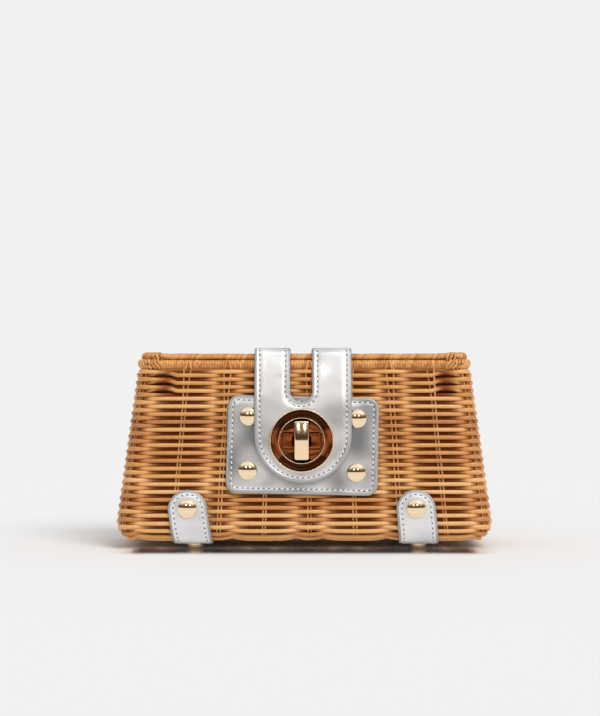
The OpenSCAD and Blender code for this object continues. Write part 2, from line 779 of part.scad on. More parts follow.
// Turning tongue, upright when it locks. Its top is arched from end to end, and
// its sides draw in upward, so that the slot clears them as the flap swings up.
module lock_tongue() at_lock() color(gold) {
    arch = 0.8;
    arch_r = (pow(tongue_l / 2, 2) + pow(arch, 2)) / (2 * arch);
    intersection() {
        translate([0, 0, tongue_low]) cylinder(d = tongue_l, h = tongue_t);
        rotate([90, 0, 0]) linear_extrude(2 * tongue_l, center = true) polygon([
            [-tongue_w / 2, tongue_low], [tongue_w / 2, tongue_low],
            [tongue_w / 2 - tongue_draft, tongue_low + tongue_t],
            [tongue_draft - tongue_w / 2, tongue_low + tongue_t]
        ]);
        translate([-tongue_w, 0, tongue_low + tongue_t - arch_r]) rotate([0, 90, 0])
            cylinder(r = arch_r, h = 2 * tongue_w, $fn = 128);
    }
    translate([0, 0, post_low]) cylinder(d = post_head_d, h = post_head_t);
    translate([0, 0, post_low]) cylinder(d = post_d, h = tongue_low + tongue_t / 2 - post_low);
}

// Dished ring on the flap, with a sunk disc, a slot, and a sleeve that goes
// through the leather into the back plate
module eyelet_ring() at_lock() color(gold) difference() {
    union() {
        translate([0, 0, flap_out]) rotate_extrude() polygon([
            [0, 0], [ring_d / 2, 0], [ring_d / 2, ring_h - 0.4],
            [ring_d / 2 - 0.4, ring_h], [ring_d / 2 - 0.9, ring_h],
            [ring_d / 2 - 1.3, ring_h - 0.5], [ring_d / 2 - 3.4, ring_h * 0.62],
            [disc_d / 2 + 0.9, disc_t + 0.5], [disc_d / 2 + 0.4, disc_t + 0.6],
            [disc_d / 2, disc_t + 0.5], [disc_d / 2, disc_t], [0, disc_t]
        ]);
        translate([0, 0, flap_in - plate_t]) linear_extrude(leather_t + plate_t + disc_t)
            slot_shape(sleeve_t);
    }
    linear_extrude(hole_l) slot_shape(0);
}

module eyelet_back() at_lock() color(gold) translate([0, 0, flap_in - plate_t]) difference() {
    cylinder(d = base_d, h = plate_t);
    linear_extrude(hole_l, center = true) slot_shape(sleeve_t + post_gap);
}

basket_wall();
basket_base();
basket_rim();
lid_panel();
lid_border();
lock_patch();
closure_flap();
lid_strap(-1);  // lid_strap_left
lid_strap(1);  // lid_strap_right
hinge_strap(-1);  // hinge_strap_left
hinge_strap(1);  // hinge_strap_right
foot_strap(-1);  // foot_strap_left
foot_strap(1);  // foot_strap_right
lock_base();
lock_tongue();
lock_washer();
eyelet_ring();
eyelet_back();
patch_rivet(-1, 1);  // patch_rivet_upper_left
patch_rivet(1, 1);  // patch_rivet_upper_right
patch_rivet(-1, -1);  // patch_rivet_lower_left
patch_rivet(1, -1);  // patch_rivet_lower_right
patch_cap(-1, 1);  // patch_cap_upper_left
patch_cap(1, 1);  // patch_cap_upper_right
patch_cap(-1, -1);  // patch_cap_lower_left
patch_cap(1, -1);  // patch_cap_lower_right
foot_rivet(-1, -1);  // foot_rivet_front_left
foot_rivet(1, -1);  // foot_rivet_front_right
foot_rivet(-1, 1);  // foot_rivet_back_left
foot_rivet(1, 1);  // foot_rivet_back_right
foot_cap(-1, -1);  // foot_cap_front_left
foot_cap(1, -1);  // foot_cap_front_right
foot_cap(-1, 1);  // foot_cap_back_left
foot_cap(1, 1);  // foot_cap_back_right
hinge_rivet(-1);  // hinge_rivet_left
hinge_rivet(1);  // hinge_rivet_right
hinge_cap(-1);  // hinge_cap_left
hinge_cap(1);  // hinge_cap_right
foot(-1, -1);  // foot_front_left
foot(1, -1);  // foot_front_right
foot(-1, 1);  // foot_back_left
foot(1, 1);  // foot_back_right
foot_nut(-1, -1);  // foot_nut_front_left
foot_nut(1, -1);  // foot_nut_front_right
foot_nut(-1, 1);  // foot_nut_back_left
foot_nut(1, 1);  // foot_nut_back_right
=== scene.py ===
# %% [markdown]
# # A small woven box bag
# This lesson dresses the solid model of a rattan box bag. The solids give the
# place and size of every piece. Here the flat walls become real canes woven
# over stakes, the leather gets rounded edges and stitches, and the metal gets
# its polish. The first cell loads the solids, which stay where they are.

import math

import bmesh
import bpy
import numpy as np
from mathutils import Matrix, Vector, noise


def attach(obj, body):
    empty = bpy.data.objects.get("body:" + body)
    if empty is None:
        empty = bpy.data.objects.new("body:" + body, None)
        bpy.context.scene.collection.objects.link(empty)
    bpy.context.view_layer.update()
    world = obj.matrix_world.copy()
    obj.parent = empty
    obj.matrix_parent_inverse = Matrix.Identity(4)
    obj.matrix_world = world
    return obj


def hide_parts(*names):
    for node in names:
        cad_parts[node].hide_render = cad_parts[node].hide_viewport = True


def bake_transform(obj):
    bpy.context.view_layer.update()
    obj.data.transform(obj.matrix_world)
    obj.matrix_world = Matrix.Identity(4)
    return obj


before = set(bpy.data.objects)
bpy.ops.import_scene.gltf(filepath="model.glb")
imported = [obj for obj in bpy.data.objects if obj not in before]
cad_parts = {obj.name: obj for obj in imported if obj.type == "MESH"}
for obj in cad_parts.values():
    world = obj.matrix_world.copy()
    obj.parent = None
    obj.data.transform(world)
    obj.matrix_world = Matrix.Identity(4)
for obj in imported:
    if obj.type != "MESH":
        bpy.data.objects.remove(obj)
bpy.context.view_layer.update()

# %% [markdown]
# ## Small helpers for nodes, colours and meshes
# Materials and Geometry Nodes trees are both made of nodes. One function adds
# a node, sets its values and links it, so that each tree reads as a list of
# steps. Colours are written as hex values, as a painter would note them, and
# are turned to the linear values that the renderer works in. Points are written
# in millimetres, and Blender gets them in metres.

# %% Helpers for nodes and colours
MM = 0.001


def add(tree, kind, settings=None, links=None, stops=()):
    """Adds a node. A name that is one of its sockets sets or links that socket.

    stops are the positions and hex colours of a colour ramp.
    """
    node = tree.nodes.new(kind)
    for key, value in (settings or {}).items():
        if isinstance(key, int) or key in node.inputs:
            node.inputs[key].default_value = value
        else:
            setattr(node, key, value)
    for key, source in (links or {}).items():
        if isinstance(source, bpy.types.Node):
            source = next(out for out in source.outputs if out.enabled)
        tree.links.new(source, node.inputs[key])
    for i, (position, colour) in enumerate(stops):
        elements = node.color_ramp.elements
        element = elements[i] if i < len(elements) else elements.new(position)
        element.position = position
        element.color = linear(colour)
    return node


def linear(hex_colour):
    """A hex colour as linear red, green, blue and alpha."""
    parts = [int(hex_colour[i : i + 2], 16) / 255 for i in (1, 3, 5)]
    curved = [c / 12.92 if c <= 0.04045 else ((c + 0.055) / 1.055) ** 2.4 for c in parts]
    return (*curved, 1.0)


def new_material(name):
    material = bpy.data.materials.new(name)
    material.use_nodes = True
    material.node_tree.nodes.clear()
    return material, material.node_tree


print("Pale grey #f1f1f1 in linear values:", [round(c, 3) for c in linear("#f1f1f1")])


# %% Helpers for meshes
def link(name, data):
    obj = bpy.data.objects.new(name, data)
    bpy.context.scene.collection.objects.link(obj)
    return obj


def plain_mesh(name, points, faces=(), edges=()):
    """A mesh from points in millimetres."""
    mesh = bpy.data.meshes.new(name)
    mesh.from_pydata((np.asarray(points, float) / 1000).tolist(), list(edges), list(faces))
    mesh.update()
    return mesh


def show_triangles(mesh):
    print(f"{mesh.name}: {sum(len(face.vertices) - 2 for face in mesh.polygons)} triangles")


def finished_mesh(name, bm, materials):
    """Turns an edited mesh into a plain one with its materials."""
    mesh = bpy.data.meshes.new(name)
    bm.to_mesh(mesh)
    bm.free()
    for material in materials:
        mesh.materials.append(material)
    show_triangles(mesh)
    return mesh


def drift(x, y, z):
    """A smooth random value at a place, between about -1 and 1."""
    return noise.noise(Vector((x, y, z)))


print("Drift at the origin and beside it:", round(drift(0, 0, 0), 2), round(drift(0.4, 0, 0), 2))

# %% [markdown]
# ## Camera
# The bag was photographed from straight in front with a long lens, level with
# its lid. One pixel at the front wall is 0.62 mm, so the picture is 444 mm
# high there. The lens follows from that height and the distance.

# %% Camera
PIXEL = 0.62
PICTURE_HEIGHT = 716 * PIXEL
CAMERA_DISTANCE = 1200.0
FRONT_FACE = 40.0
EYE = (-2.7, -CAMERA_DISTANCE - FRONT_FACE, 118.7)

camera_data = bpy.data.cameras.new("camera")
camera_data.sensor_fit = "VERTICAL"
camera_data.sensor_height = 36.0
camera_data.lens = camera_data.sensor_height * CAMERA_DISTANCE / PICTURE_HEIGHT
camera_data.clip_end = 50.0
camera = link("camera", camera_data)
camera.location = [c / 1000 for c in EYE]
camera.rotation_euler = (math.pi / 2, 0, 0)
bpy.context.scene.camera = camera
bpy.context.scene.view_settings.view_transform = "Standard"
print("Lens in mm:", round(camera_data.lens, 1))

# %% [markdown]
# ## Floor, light and surroundings
# The picture has a pale, even ground without a horizon. The floor is a large
# plain sheet whose far parts glow in the background's own grey. Close to the bag
# it is a plain matt surface that takes its shadow. A strip of it in front of the
# bag is polished, so at a low angle the warm underside shows in it. A broad sun
# from the right and the world light the bag softly. Polished metal needs something
# to mirror, so a dark band stands far out, all the way round, where only gloss can
# see it, and two small windows stand in front.

# %% Floor
GROUND = "#f1f1f1"
# The floor turns into the glowing ground between these distances, in metres.
GLOW_FROM, GLOW_TO = 0.35, 1.1
# Middle, half size and soft edge of the polished strip, in metres
STRIP_MIDDLE, STRIP_HALF, STRIP_FADE = (0.0, -0.047, 0.0), (0.099, 0.007, 1.0), 0.023

floor_material, tree = new_material("studio_floor")
place = add(tree, "ShaderNodeNewGeometry").outputs["Position"]
reach = add(tree, "ShaderNodeVectorMath", {"operation": "LENGTH"}, {0: place})
fade = add(tree, "ShaderNodeMapRange", {"From Min": GLOW_FROM, "From Max": GLOW_TO}, {"Value": reach})
ray = add(tree, "ShaderNodeLightPath")
seen = add(tree, "ShaderNodeMath", {"operation": "MULTIPLY"}, {0: fade, 1: ray.outputs["Is Camera Ray"]})
away = add(tree, "ShaderNodeVectorMath", {"operation": "SUBTRACT", 1: STRIP_MIDDLE}, {0: place})
away = add(tree, "ShaderNodeVectorMath", {"operation": "ABSOLUTE"}, {0: away})
away = add(tree, "ShaderNodeVectorMath", {"operation": "SUBTRACT", 1: STRIP_HALF}, {0: away})
away = add(tree, "ShaderNodeVectorMath", {"operation": "MAXIMUM", 1: (0.0, 0.0, 0.0)}, {0: away})
away = add(tree, "ShaderNodeVectorMath", {"operation": "LENGTH"}, {0: away})
strip = add(
    tree, "ShaderNodeMapRange",
    {"interpolation_type": "SMOOTHSTEP", "From Max": STRIP_FADE, "To Min": 1.0, "To Max": 0.0},
    {"Value": away},
)
slant = add(tree, "ShaderNodeLayerWeight", {"Blend": 0.5})
grazing = add(
    tree, "ShaderNodeMapRange", {"From Min": 0.72, "From Max": 0.9, "To Max": 0.97},
    {"Value": slant.outputs["Facing"]},
)
shine = add(tree, "ShaderNodeMath", {"operation": "MULTIPLY"}, {0: strip, 1: grazing})
plain = add(tree, "ShaderNodeBsdfDiffuse", {"Color": linear("#f7f7f7")})
polish = add(tree, "ShaderNodeBsdfGlossy", {"Color": linear("#e0c9b8"), "Roughness": 0.09})
matt = add(tree, "ShaderNodeMixShader", {}, {0: shine, 1: plain, 2: polish})
glow = add(tree, "ShaderNodeEmission", {"Color": linear(GROUND)})
mixed = add(tree, "ShaderNodeMixShader", {}, {0: seen, 1: matt, 2: glow})
add(tree, "ShaderNodeOutputMaterial", {}, {"Surface": mixed})

FLOOR_REACH = 9000.0
floor_corners = [[x * FLOOR_REACH, y * FLOOR_REACH, 0] for x, y in ((-1, -1), (1, -1), (1, 1), (-1, 1))]
floor = link("floor", plain_mesh("floor", floor_corners, [[0, 1, 2, 3]]))
floor.data.materials.append(floor_material)
print("Floor reaches", FLOOR_REACH / 1000, "m each way")

# %% Light and surroundings
world = bpy.data.worlds.new("studio")
bpy.context.scene.world = world
world.use_nodes = True
tree = world.node_tree
tree.nodes.clear()
ray = add(tree, "ShaderNodeLightPath")
shown = add(
    tree, "ShaderNodeMath", {"operation": "MAXIMUM"},
    {0: ray.outputs["Is Camera Ray"], 1: ray.outputs["Is Glossy Ray"]},
)
shown = add(
    tree, "ShaderNodeMath", {"operation": "MAXIMUM"},
    {0: shown, 1: ray.outputs["Is Transmission Ray"]},
)
ambient = add(tree, "ShaderNodeBackground", {"Color": linear("#ffffff"), "Strength": 0.62})
backdrop = add(tree, "ShaderNodeBackground", {"Color": linear(GROUND), "Strength": 1.0})
mixed = add(tree, "ShaderNodeMixShader", {}, {0: shown, 1: ambient, 2: backdrop})
add(tree, "ShaderNodeOutputWorld", {}, {"Surface": mixed})

sun_data = bpy.data.lights.new("broad_sun", "SUN")
sun_data.energy = 1.5
sun_data.angle = math.radians(32)
sun = link("broad_sun", sun_data)
sun.rotation_euler = (math.radians(46), 0, math.radians(32))

DRUM_FAR, DRUM_TOP = 2600.0, 4160.0
DRUM_SIDES = 48
drum_angles = [2 * math.pi * i / DRUM_SIDES for i in range(DRUM_SIDES)]
drum_points = [
    [DRUM_FAR * math.sin(a), DRUM_FAR * math.cos(a), z] for z in (1.0, DRUM_TOP) for a in drum_angles
]
drum_faces = [
    [i, (i + 1) % DRUM_SIDES, DRUM_SIDES + (i + 1) % DRUM_SIDES, DRUM_SIDES + i] for i in range(DRUM_SIDES)
]
drum = link("surroundings", plain_mesh("surroundings", drum_points, drum_faces))
# Colours of the room from the drum's foot to its top
DRUM_LOOK = [
    (0.0, "#f2ece2"), (0.135, "#f4eee4"), (0.175, "#33291f"), (0.235, "#33291f"), (0.27, "#7a6a58"),
    (0.36, "#8f806d"), (0.45, "#cfc8bd"), (0.56, "#f6f4f0"), (1.0, "#ffffff"),
]
drum_material, tree = new_material("surroundings_by_height")
place = add(tree, "ShaderNodeNewGeometry").outputs["Position"]
height = add(tree, "ShaderNodeSeparateXYZ", {}, {"Vector": place})
share = add(tree, "ShaderNodeMath", {"operation": "DIVIDE", 1: DRUM_TOP / 1000}, {0: height.outputs["Z"]})
colour = add(tree, "ShaderNodeValToRGB", {}, {"Fac": share}, DRUM_LOOK)
glow = add(tree, "ShaderNodeEmission", {}, {"Color": colour})
add(tree, "ShaderNodeOutputMaterial", {}, {"Surface": glow})
drum.data.materials.append(drum_material)

lamp_material, tree = new_material("small_window")
glow = add(tree, "ShaderNodeEmission", {"Color": linear("#fffaf2"), "Strength": 9.0})
add(tree, "ShaderNodeOutputMaterial", {}, {"Surface": glow})
WINDOW_R, WINDOW_X, WINDOW_FAR, WINDOW_Z = 130.0, 450.0, 2500.0, 1366.0
WINDOW_SIDES = 24
windows = []
for x in (-WINDOW_X, WINDOW_X):
    spots = [[x + WINDOW_R * math.cos(a), -WINDOW_FAR, WINDOW_Z + WINDOW_R * math.sin(a)]
             for a in np.linspace(0, 2 * math.pi, WINDOW_SIDES, endpoint=False)]
    window = link("small_window", plain_mesh("small_window", spots, [list(range(WINDOW_SIDES))]))
    window.data.materials.append(lamp_material)
    windows.append(window)
for piece in (drum, *windows):
    piece.visible_camera = False
    piece.visible_diffuse = False
    piece.visible_shadow = False
    piece.visible_transmission = False
print("Metal mirrors", len(DRUM_LOOK), "bands of the room and", len(windows), "windows")

# %% [markdown]
# ## The form of the basket
# The solid model draws the wall from a few sizes: a rounded rectangle at the
# foot, four sides that lean inward, and a rounded foot edge. The same sizes are
# used here in millimetres, so that each cane runs exactly where the solid has
# its ridges. A place on the wall is given by how far along the wall's section it
# lies, from the foot up, and how far out of the face it stands.

# %% Sizes of the basket
LEAN_DEGREES = 7.6
LEAN = math.radians(LEAN_DEGREES)
HALF_W, HALF_D = 118.0, 46.0
BASE_Z, TOP_Z = 6.4, 111.4
EDGE_R = 10.0
CORNER_LOW, CORNER_TOP = 14.0, 11.0
EDGE_Z = BASE_Z + EDGE_R
EDGE_INSET = EDGE_R * math.tan(LEAN) + EDGE_R / math.cos(LEAN)
ARC = EDGE_R * (math.pi / 2 + LEAN)
SECTION = ARC + (TOP_Z - EDGE_Z - EDGE_R * math.sin(LEAN)) / math.cos(LEAN)
ROWS = 46
ROW_PITCH = 2.42
STAKE_PITCH, STAKE_SHIFT = 26.8, 3.0
WEAVE_OUT = 1.3


def wall_y(z):
    return HALF_D - (z - BASE_Z) * math.tan(LEAN)


def wall_x(z):
    return HALF_W - (z - BASE_Z) * math.tan(LEAN)


def wall_point(station, s, w):
    """A point at a station of the plan, s along the section and w out of the face."""
    mx, my, nx, ny = station[:4]
    tilt = s / EDGE_R - math.pi / 2 if s < ARC else LEAN
    climb = max(0.0, s - ARC)
    inset = EDGE_INSET - EDGE_R * math.cos(tilt) + climb * math.sin(LEAN)
    face_z = EDGE_Z + EDGE_R * math.sin(tilt) + climb * math.cos(LEAN)
    corner = CORNER_LOW + (CORNER_TOP - CORNER_LOW) * (face_z - BASE_Z) / (TOP_Z - BASE_Z)
    if s < ARC:
        corner -= max(0.0, EDGE_INSET - EDGE_R * math.cos(tilt) - (face_z - BASE_Z) * math.tan(LEAN))
    corner = max(1.0, corner)
    out = w * math.cos(tilt)
    return (
        mx * (HALF_W - inset - corner) + nx * (corner + out),
        my * (HALF_D - inset - corner) + ny * (corner + out),
        face_z + w * math.sin(tilt),
    )


def plan(hx, hy, r, count):
    """Stations once round a rounded rectangle, from the front's left end to the right."""
    a, b, q = hx - r, hy - r, math.pi * r / 2
    total = 4 * a + 4 * b + 4 * q
    stations = []
    sides = (1, -1, 2 * a, -90), (1, 1, 2 * b, 0), (-1, 1, 2 * a, 90), (-1, -1, 2 * b, 180)
    for t in np.arange(count) * total / count:
        walk = float(t)
        for cx, cy, run, degrees in sides:
            facing = math.radians(degrees)
            if walk < run:
                share = 2 * walk / run - 1
                nx, ny = math.cos(facing), math.sin(facing)
                mx = nx if abs(nx) > 0.5 else share * cx
                my = ny if abs(ny) > 0.5 else share * cy
                stations.append((mx, my, nx, ny, t))
                break
            walk -= run
            if walk < q:
                angle = facing + walk / q * math.pi / 2
                stations.append((cx, cy, math.cos(angle), math.sin(angle), t))
                break
            walk -= q
    return stations, total


MID_Z = (BASE_Z + TOP_Z) / 2
MID_R = (CORNER_LOW + CORNER_TOP) / 2
MID_A, MID_B = wall_x(MID_Z) - MID_R, wall_y(MID_Z) - MID_R
wall_plan, wall_round = plan(wall_x(MID_Z), wall_y(MID_Z), MID_R, 352)
print("Once round the basket at mid height:", round(wall_round), "mm")

# %% [markdown]
# ## Materials
# Rattan cane is peeled and varnished: a warm straw colour that differs from cane to cane, with fine streaks
# along it and a satin gloss. Where canes hide behind others, the colour is painted darker and redder as
# painted shade, and the gloss and varnish are turned down there as painted shade too. Each cane carries its
# own random value and the distance along it as attributes, so that the streaks follow the cane round every
# bend.

# %% Rattan
STREAK_MM = 9.0
GRAIN_MM = 0.35


def rattan(name, stops, shade, roughness):
    """Cane with colours along a value, a hex colour painted as shade in hidden places, and its gloss."""
    material, tree = new_material(name)
    along, strand, hidden = (
        add(tree, "ShaderNodeAttribute", {"attribute_name": value}).outputs["Fac"]
        for value in ("along", "strand", "hidden")
    )
    where = add(tree, "ShaderNodeTexCoord").outputs["Object"]
    lane = add(tree, "ShaderNodeCombineXYZ", {}, {"X": along, "Y": strand})
    lanes = (1000 / STREAK_MM, 37.0, 1)
    lane = add(tree, "ShaderNodeVectorMath", {"operation": "MULTIPLY", 1: lanes}, {0: lane})
    streak = add(tree, "ShaderNodeTexNoise", {"Scale": 1.0, "Detail": 3.0}, {"Vector": lane})
    grain = add(tree, "ShaderNodeTexNoise", {"Scale": 1000 / GRAIN_MM / 4, "Detail": 2.0}, {"Vector": where})
    tone = add(tree, "ShaderNodeMath", {"operation": "MULTIPLY_ADD", 1: 0.5}, {0: streak, 2: strand})
    tone = add(tree, "ShaderNodeMath", {"operation": "MULTIPLY_ADD", 1: 0.25}, {0: grain, 2: tone})
    tone = add(tree, "ShaderNodeMapRange", {"From Min": 0.25, "From Max": 1.5}, {"Value": tone})
    # painted shade: hidden places are mixed towards the shade colour
    painted_shade = add(tree, "ShaderNodeMapRange", {"To Max": 0.88}, {"Value": hidden})
    open_colour = add(tree, "ShaderNodeValToRGB", {}, {"Fac": tone}, stops)
    colour = add(
        tree, "ShaderNodeMix", {"data_type": "RGBA", "B": linear(shade)}, {"Factor": painted_shade, "A": open_colour},
    )
    # painted shade on the gloss: specular and varnish are turned down where the cane hides
    bare = add(tree, "ShaderNodeMapRange", {"From Max": 0.8, "To Min": 1.0, "To Max": 0.1}, {"Value": hidden})
    gloss = add(tree, "ShaderNodeMath", {"operation": "MULTIPLY", 1: 0.5}, {0: bare})
    varnish = add(tree, "ShaderNodeMath", {"operation": "MULTIPLY", 1: 0.25}, {0: bare})
    bump = add(tree, "ShaderNodeBump", {"Strength": 0.25, "Distance": 0.0002}, {"Height": grain})
    skin = add(
        tree, "ShaderNodeBsdfPrincipled", {"Roughness": roughness, "Coat Roughness": 0.35},
        {"Base Color": colour, "Normal": bump, "Specular IOR Level": gloss, "Coat Weight": varnish},
    )
    add(tree, "ShaderNodeOutputMaterial", {}, {"Surface": skin})
    return material


cane_colours = [(0.0, "#ad642c"), (0.35, "#cd8a45"), (0.65, "#e0a25b"), (1.0, "#eebb82")]
peel_colours = [(0.0, "#b8722f"), (0.35, "#cf8a40"), (0.65, "#dd9e55"), (1.0, "#e8b06e")]
# The third colour of each is the painted shade where canes hide
cane = rattan("rattan_cane", cane_colours, "#6e2604", 0.45)
peel = rattan("rattan_peel", peel_colours, "#6a3512", 0.42)
print("Streaks of", STREAK_MM, "mm and grain of", GRAIN_MM, "mm")

# %% [markdown]
# The leather is foil-coated: a thin silver film on a smooth split hide. It is half mirror and half matt, with
# a faint grain and soft creases, so it takes the light of the room in broad patches. Its cut edge is painted
# a pale grey. The plate behind the lock gets a darker copy of the same leather as painted shade, and the foot
# straps a lighter copy as painted light.

# %% Silver leather, its edge and its thread
def flat_finish(name, colour, roughness, metallic=0.0, grain_mm=0.0, grain_depth=0.0):
    """An even finish with an optional fine grain in its relief."""
    material, tree = new_material(name)
    relief = {}
    if grain_mm:
        where = add(tree, "ShaderNodeTexCoord").outputs["Object"]
        scale = 1000 / grain_mm / 2
        grain = add(tree, "ShaderNodeTexNoise", {"Scale": scale, "Detail": 3.0}, {"Vector": where})
        bump = add(tree, "ShaderNodeBump", {"Strength": 1.0, "Distance": grain_depth}, {"Height": grain})
        relief["Normal"] = bump
    skin = add(
        tree, "ShaderNodeBsdfPrincipled",
        {"Base Color": linear(colour), "Roughness": roughness, "Metallic": metallic}, relief,
    )
    add(tree, "ShaderNodeOutputMaterial", {}, {"Surface": skin})
    return material


def silver_leather(name, dull, bright, metallic):
    """Foil-coated hide that wanders between two hex colours."""
    material, tree = new_material(name)
    where = add(tree, "ShaderNodeUVMap", {"uv_map": "cut"}).outputs["UV"]
    pores = add(tree, "ShaderNodeTexVoronoi", {"Scale": 900.0}, {"Vector": where})
    creases = add(tree, "ShaderNodeTexNoise", {"Scale": 60.0, "Detail": 1.5}, {"Vector": where})
    patches = add(tree, "ShaderNodeTexNoise", {"Scale": 38.0, "Detail": 1.0}, {"Vector": where})
    colour = add(tree, "ShaderNodeValToRGB", {}, {"Fac": patches}, [(0.34, dull), (0.64, bright)])
    gloss = add(
        tree, "ShaderNodeMapRange", {"From Min": 0.3, "From Max": 0.7, "To Min": 0.26, "To Max": 0.36},
        {"Value": creases},
    )
    fine = add(
        tree, "ShaderNodeBump", {"Strength": 0.12, "Distance": 0.00006},
        {"Height": pores.outputs["Distance"]},
    )
    broad = add(
        tree, "ShaderNodeBump", {"Strength": 0.6, "Distance": 0.0006}, {"Height": creases, "Normal": fine},
    )
    skin = add(
        tree, "ShaderNodeBsdfPrincipled", {"Metallic": metallic},
        {"Base Color": colour, "Roughness": gloss, "Normal": broad},
    )
    add(tree, "ShaderNodeOutputMaterial", {}, {"Surface": skin})
    return material


leather = silver_leather("foil_coated_leather", "#cbccd0", "#ebebec", 0.82)
# Copies of the same leather: a darker one as painted shade for the lock's plate, and a lighter one as painted
# light for the foot straps
leather_painted_darker = silver_leather("foil_coated_leather_painted_shade", "#8f9095", "#dedee0", 0.85)
leather_painted_lighter = silver_leather("foil_coated_leather_painted_light", "#dcdcdf", "#efeff0", 0.6)
edge_paint = flat_finish("painted_leather_edge", "#a6a8a8", 0.42, 0.3, 0.8, 0.00005)
suede = flat_finish("leather_flesh_side", "#b9b4aa", 0.85, 0.0, 0.5, 0.0001)
thread = flat_finish("waxed_silver_thread", "#eef0ee", 0.35, 0.4, 0.4, 0.00005)
# Dark beads sunk between the stitches paint the shade of the needle holes
hole_painted_shade = flat_finish("hole_painted_shade", "#40454c", 0.6)
print("Leather finishes:", leather.name, edge_paint.name, suede.name)

# %% [markdown]
# The rivets, feet and lock are steel with a light gold plating, polished. Gold plating gives nearly all of
# its look by mirroring. Tiny ripples in the polish break the edges of what it mirrors. For the lock's dish
# and the plate behind the slot, a second gold is painted darker and redder, most of all above and below the
# lock's middle, as painted reflection and shade.

# %% Gold plating
gold = flat_finish("polished_light_gold", "#fde6c6", 0.1, 1.0, 3.0, 0.00002)


# Height of the ring's middle and its half size, in metres
RING_MIDDLE, RING_REACH = 0.0675, 0.0198


def gold_with_painted_reflection():
    """Gold painted darker and redder away from the height of the lock's middle, as painted reflection and
    shade.
    """
    material, tree = new_material("gold_painted_dark_reflection")
    where = add(tree, "ShaderNodeTexCoord").outputs["Object"]
    height = add(tree, "ShaderNodeSeparateXYZ", {}, {"Vector": where})
    off = add(tree, "ShaderNodeMath", {"operation": "SUBTRACT", 1: RING_MIDDLE}, {0: height.outputs["Z"]})
    off = add(tree, "ShaderNodeMath", {"operation": "ABSOLUTE"}, {0: off})
    off = add(tree, "ShaderNodeMath", {"operation": "DIVIDE", 1: RING_REACH}, {0: off})
    cloud = add(tree, "ShaderNodeTexNoise", {"Scale": 70.0, "Detail": 1.0}, {"Vector": where})
    tone = add(tree, "ShaderNodeMath", {"operation": "MULTIPLY_ADD", 1: 1.1}, {0: cloud, 2: off})
    stops = [(0.55, "#a2562d"), (0.9, "#8a4a28"), (1.0, "#41200f")]
    colour = add(tree, "ShaderNodeValToRGB", {}, {"Fac": tone}, stops)
    skin = add(tree, "ShaderNodeBsdfPrincipled", {"Roughness": 0.2, "Metallic": 1.0}, {"Base Color": colour})
    add(tree, "ShaderNodeOutputMaterial", {}, {"Surface": skin})
    return material


gold_painted_darker = gold_with_painted_reflection()
flat_gold = flat_finish("brushed_light_gold", "#c9a878", 0.3, 1.0, 0.4, 0.00002)
print("Metal finishes:", gold.name, gold_painted_darker.name, flat_gold.name)

# %% [markdown]
# ## A tree that sweeps canes along paths
# Every cane in the bag follows a path: a row round the basket, an upright stake,
# or a strip of peel wound round the rim. The path is a chain of points, made
# by a rule. One Geometry Nodes tree turns each chain into a round cane, gives it
# its own random value, and keeps the distance along it for the material.

# %% Cane tree
def new_tree(name, inputs):
    """A Geometry Nodes tree with named inputs, and its input node."""
    tree = bpy.data.node_groups.new(name, "GeometryNodeTree")
    tree.interface.new_socket("Geometry", in_out="INPUT", socket_type="NodeSocketGeometry")
    for label, kind in inputs:
        tree.interface.new_socket(label, in_out="INPUT", socket_type="NodeSocket" + kind)
    tree.interface.new_socket("Geometry", in_out="OUTPUT", socket_type="NodeSocketGeometry")
    return tree, add(tree, "NodeGroupInput").outputs


def end_tree(tree, geometry, material):
    solid = add(tree, "GeometryNodeRealizeInstances", {}, {"Geometry": geometry})
    painted = add(tree, "GeometryNodeSetMaterial", {}, {"Geometry": solid, "Material": material})
    add(tree, "NodeGroupOutput", {}, {"Geometry": painted})


def grow(name, source, tree, values):
    """Runs a tree on a mesh and keeps what it makes as a plain mesh."""
    obj = link(name, source)
    modifier = obj.modifiers.new(name, "NODES")
    modifier.node_group = tree
    for item in tree.interface.items_tree:
        if item.in_out == "INPUT" and item.name in values:
            modifier[item.identifier] = values[item.name]
    bpy.context.view_layer.update()
    depsgraph = bpy.context.evaluated_depsgraph_get()
    made = bpy.data.meshes.new_from_object(
        obj.evaluated_get(depsgraph), preserve_all_data_layers=True, depsgraph=depsgraph
    )
    obj.modifiers.remove(modifier)
    obj.data = made
    made.name = name
    show_triangles(made)
    return obj


def sweep(tree, curve, radius, flatness, sides, seed):
    """Gives curves a round or oval body, their own random value and their length."""
    owner = add(tree, "GeometryNodeCurveOfPoint")
    chance = add(
        tree, "FunctionNodeRandomValue", {"data_type": "FLOAT"},
        {"ID": owner.outputs["Curve Index"], "Seed": seed},
    )
    length = add(tree, "GeometryNodeSplineParameter")
    for value_name, value in (("strand", chance), ("along", length.outputs["Length"])):
        curve = add(
            tree, "GeometryNodeStoreNamedAttribute", {"data_type": "FLOAT", "Name": value_name},
            {"Geometry": curve, "Value": value},
        )
    curve = add(tree, "GeometryNodeSetCurveNormal", {"mode": "Z_UP"}, {"Curve": curve})
    ring = add(tree, "GeometryNodeCurvePrimitiveCircle", {"Radius": 1.0}, {"Resolution": sides})
    oval = add(tree, "ShaderNodeCombineXYZ", {"Y": 1.0, "Z": 1.0}, {"X": flatness})
    ring = add(tree, "GeometryNodeTransform", {}, {"Geometry": ring, "Scale": oval})
    body = add(
        tree, "GeometryNodeCurveToMesh", {"Fill Caps": True},
        {"Curve": curve, "Profile Curve": ring, "Scale": radius},
    )
    return add(tree, "GeometryNodeSetShadeSmooth", {}, {"Geometry": body})


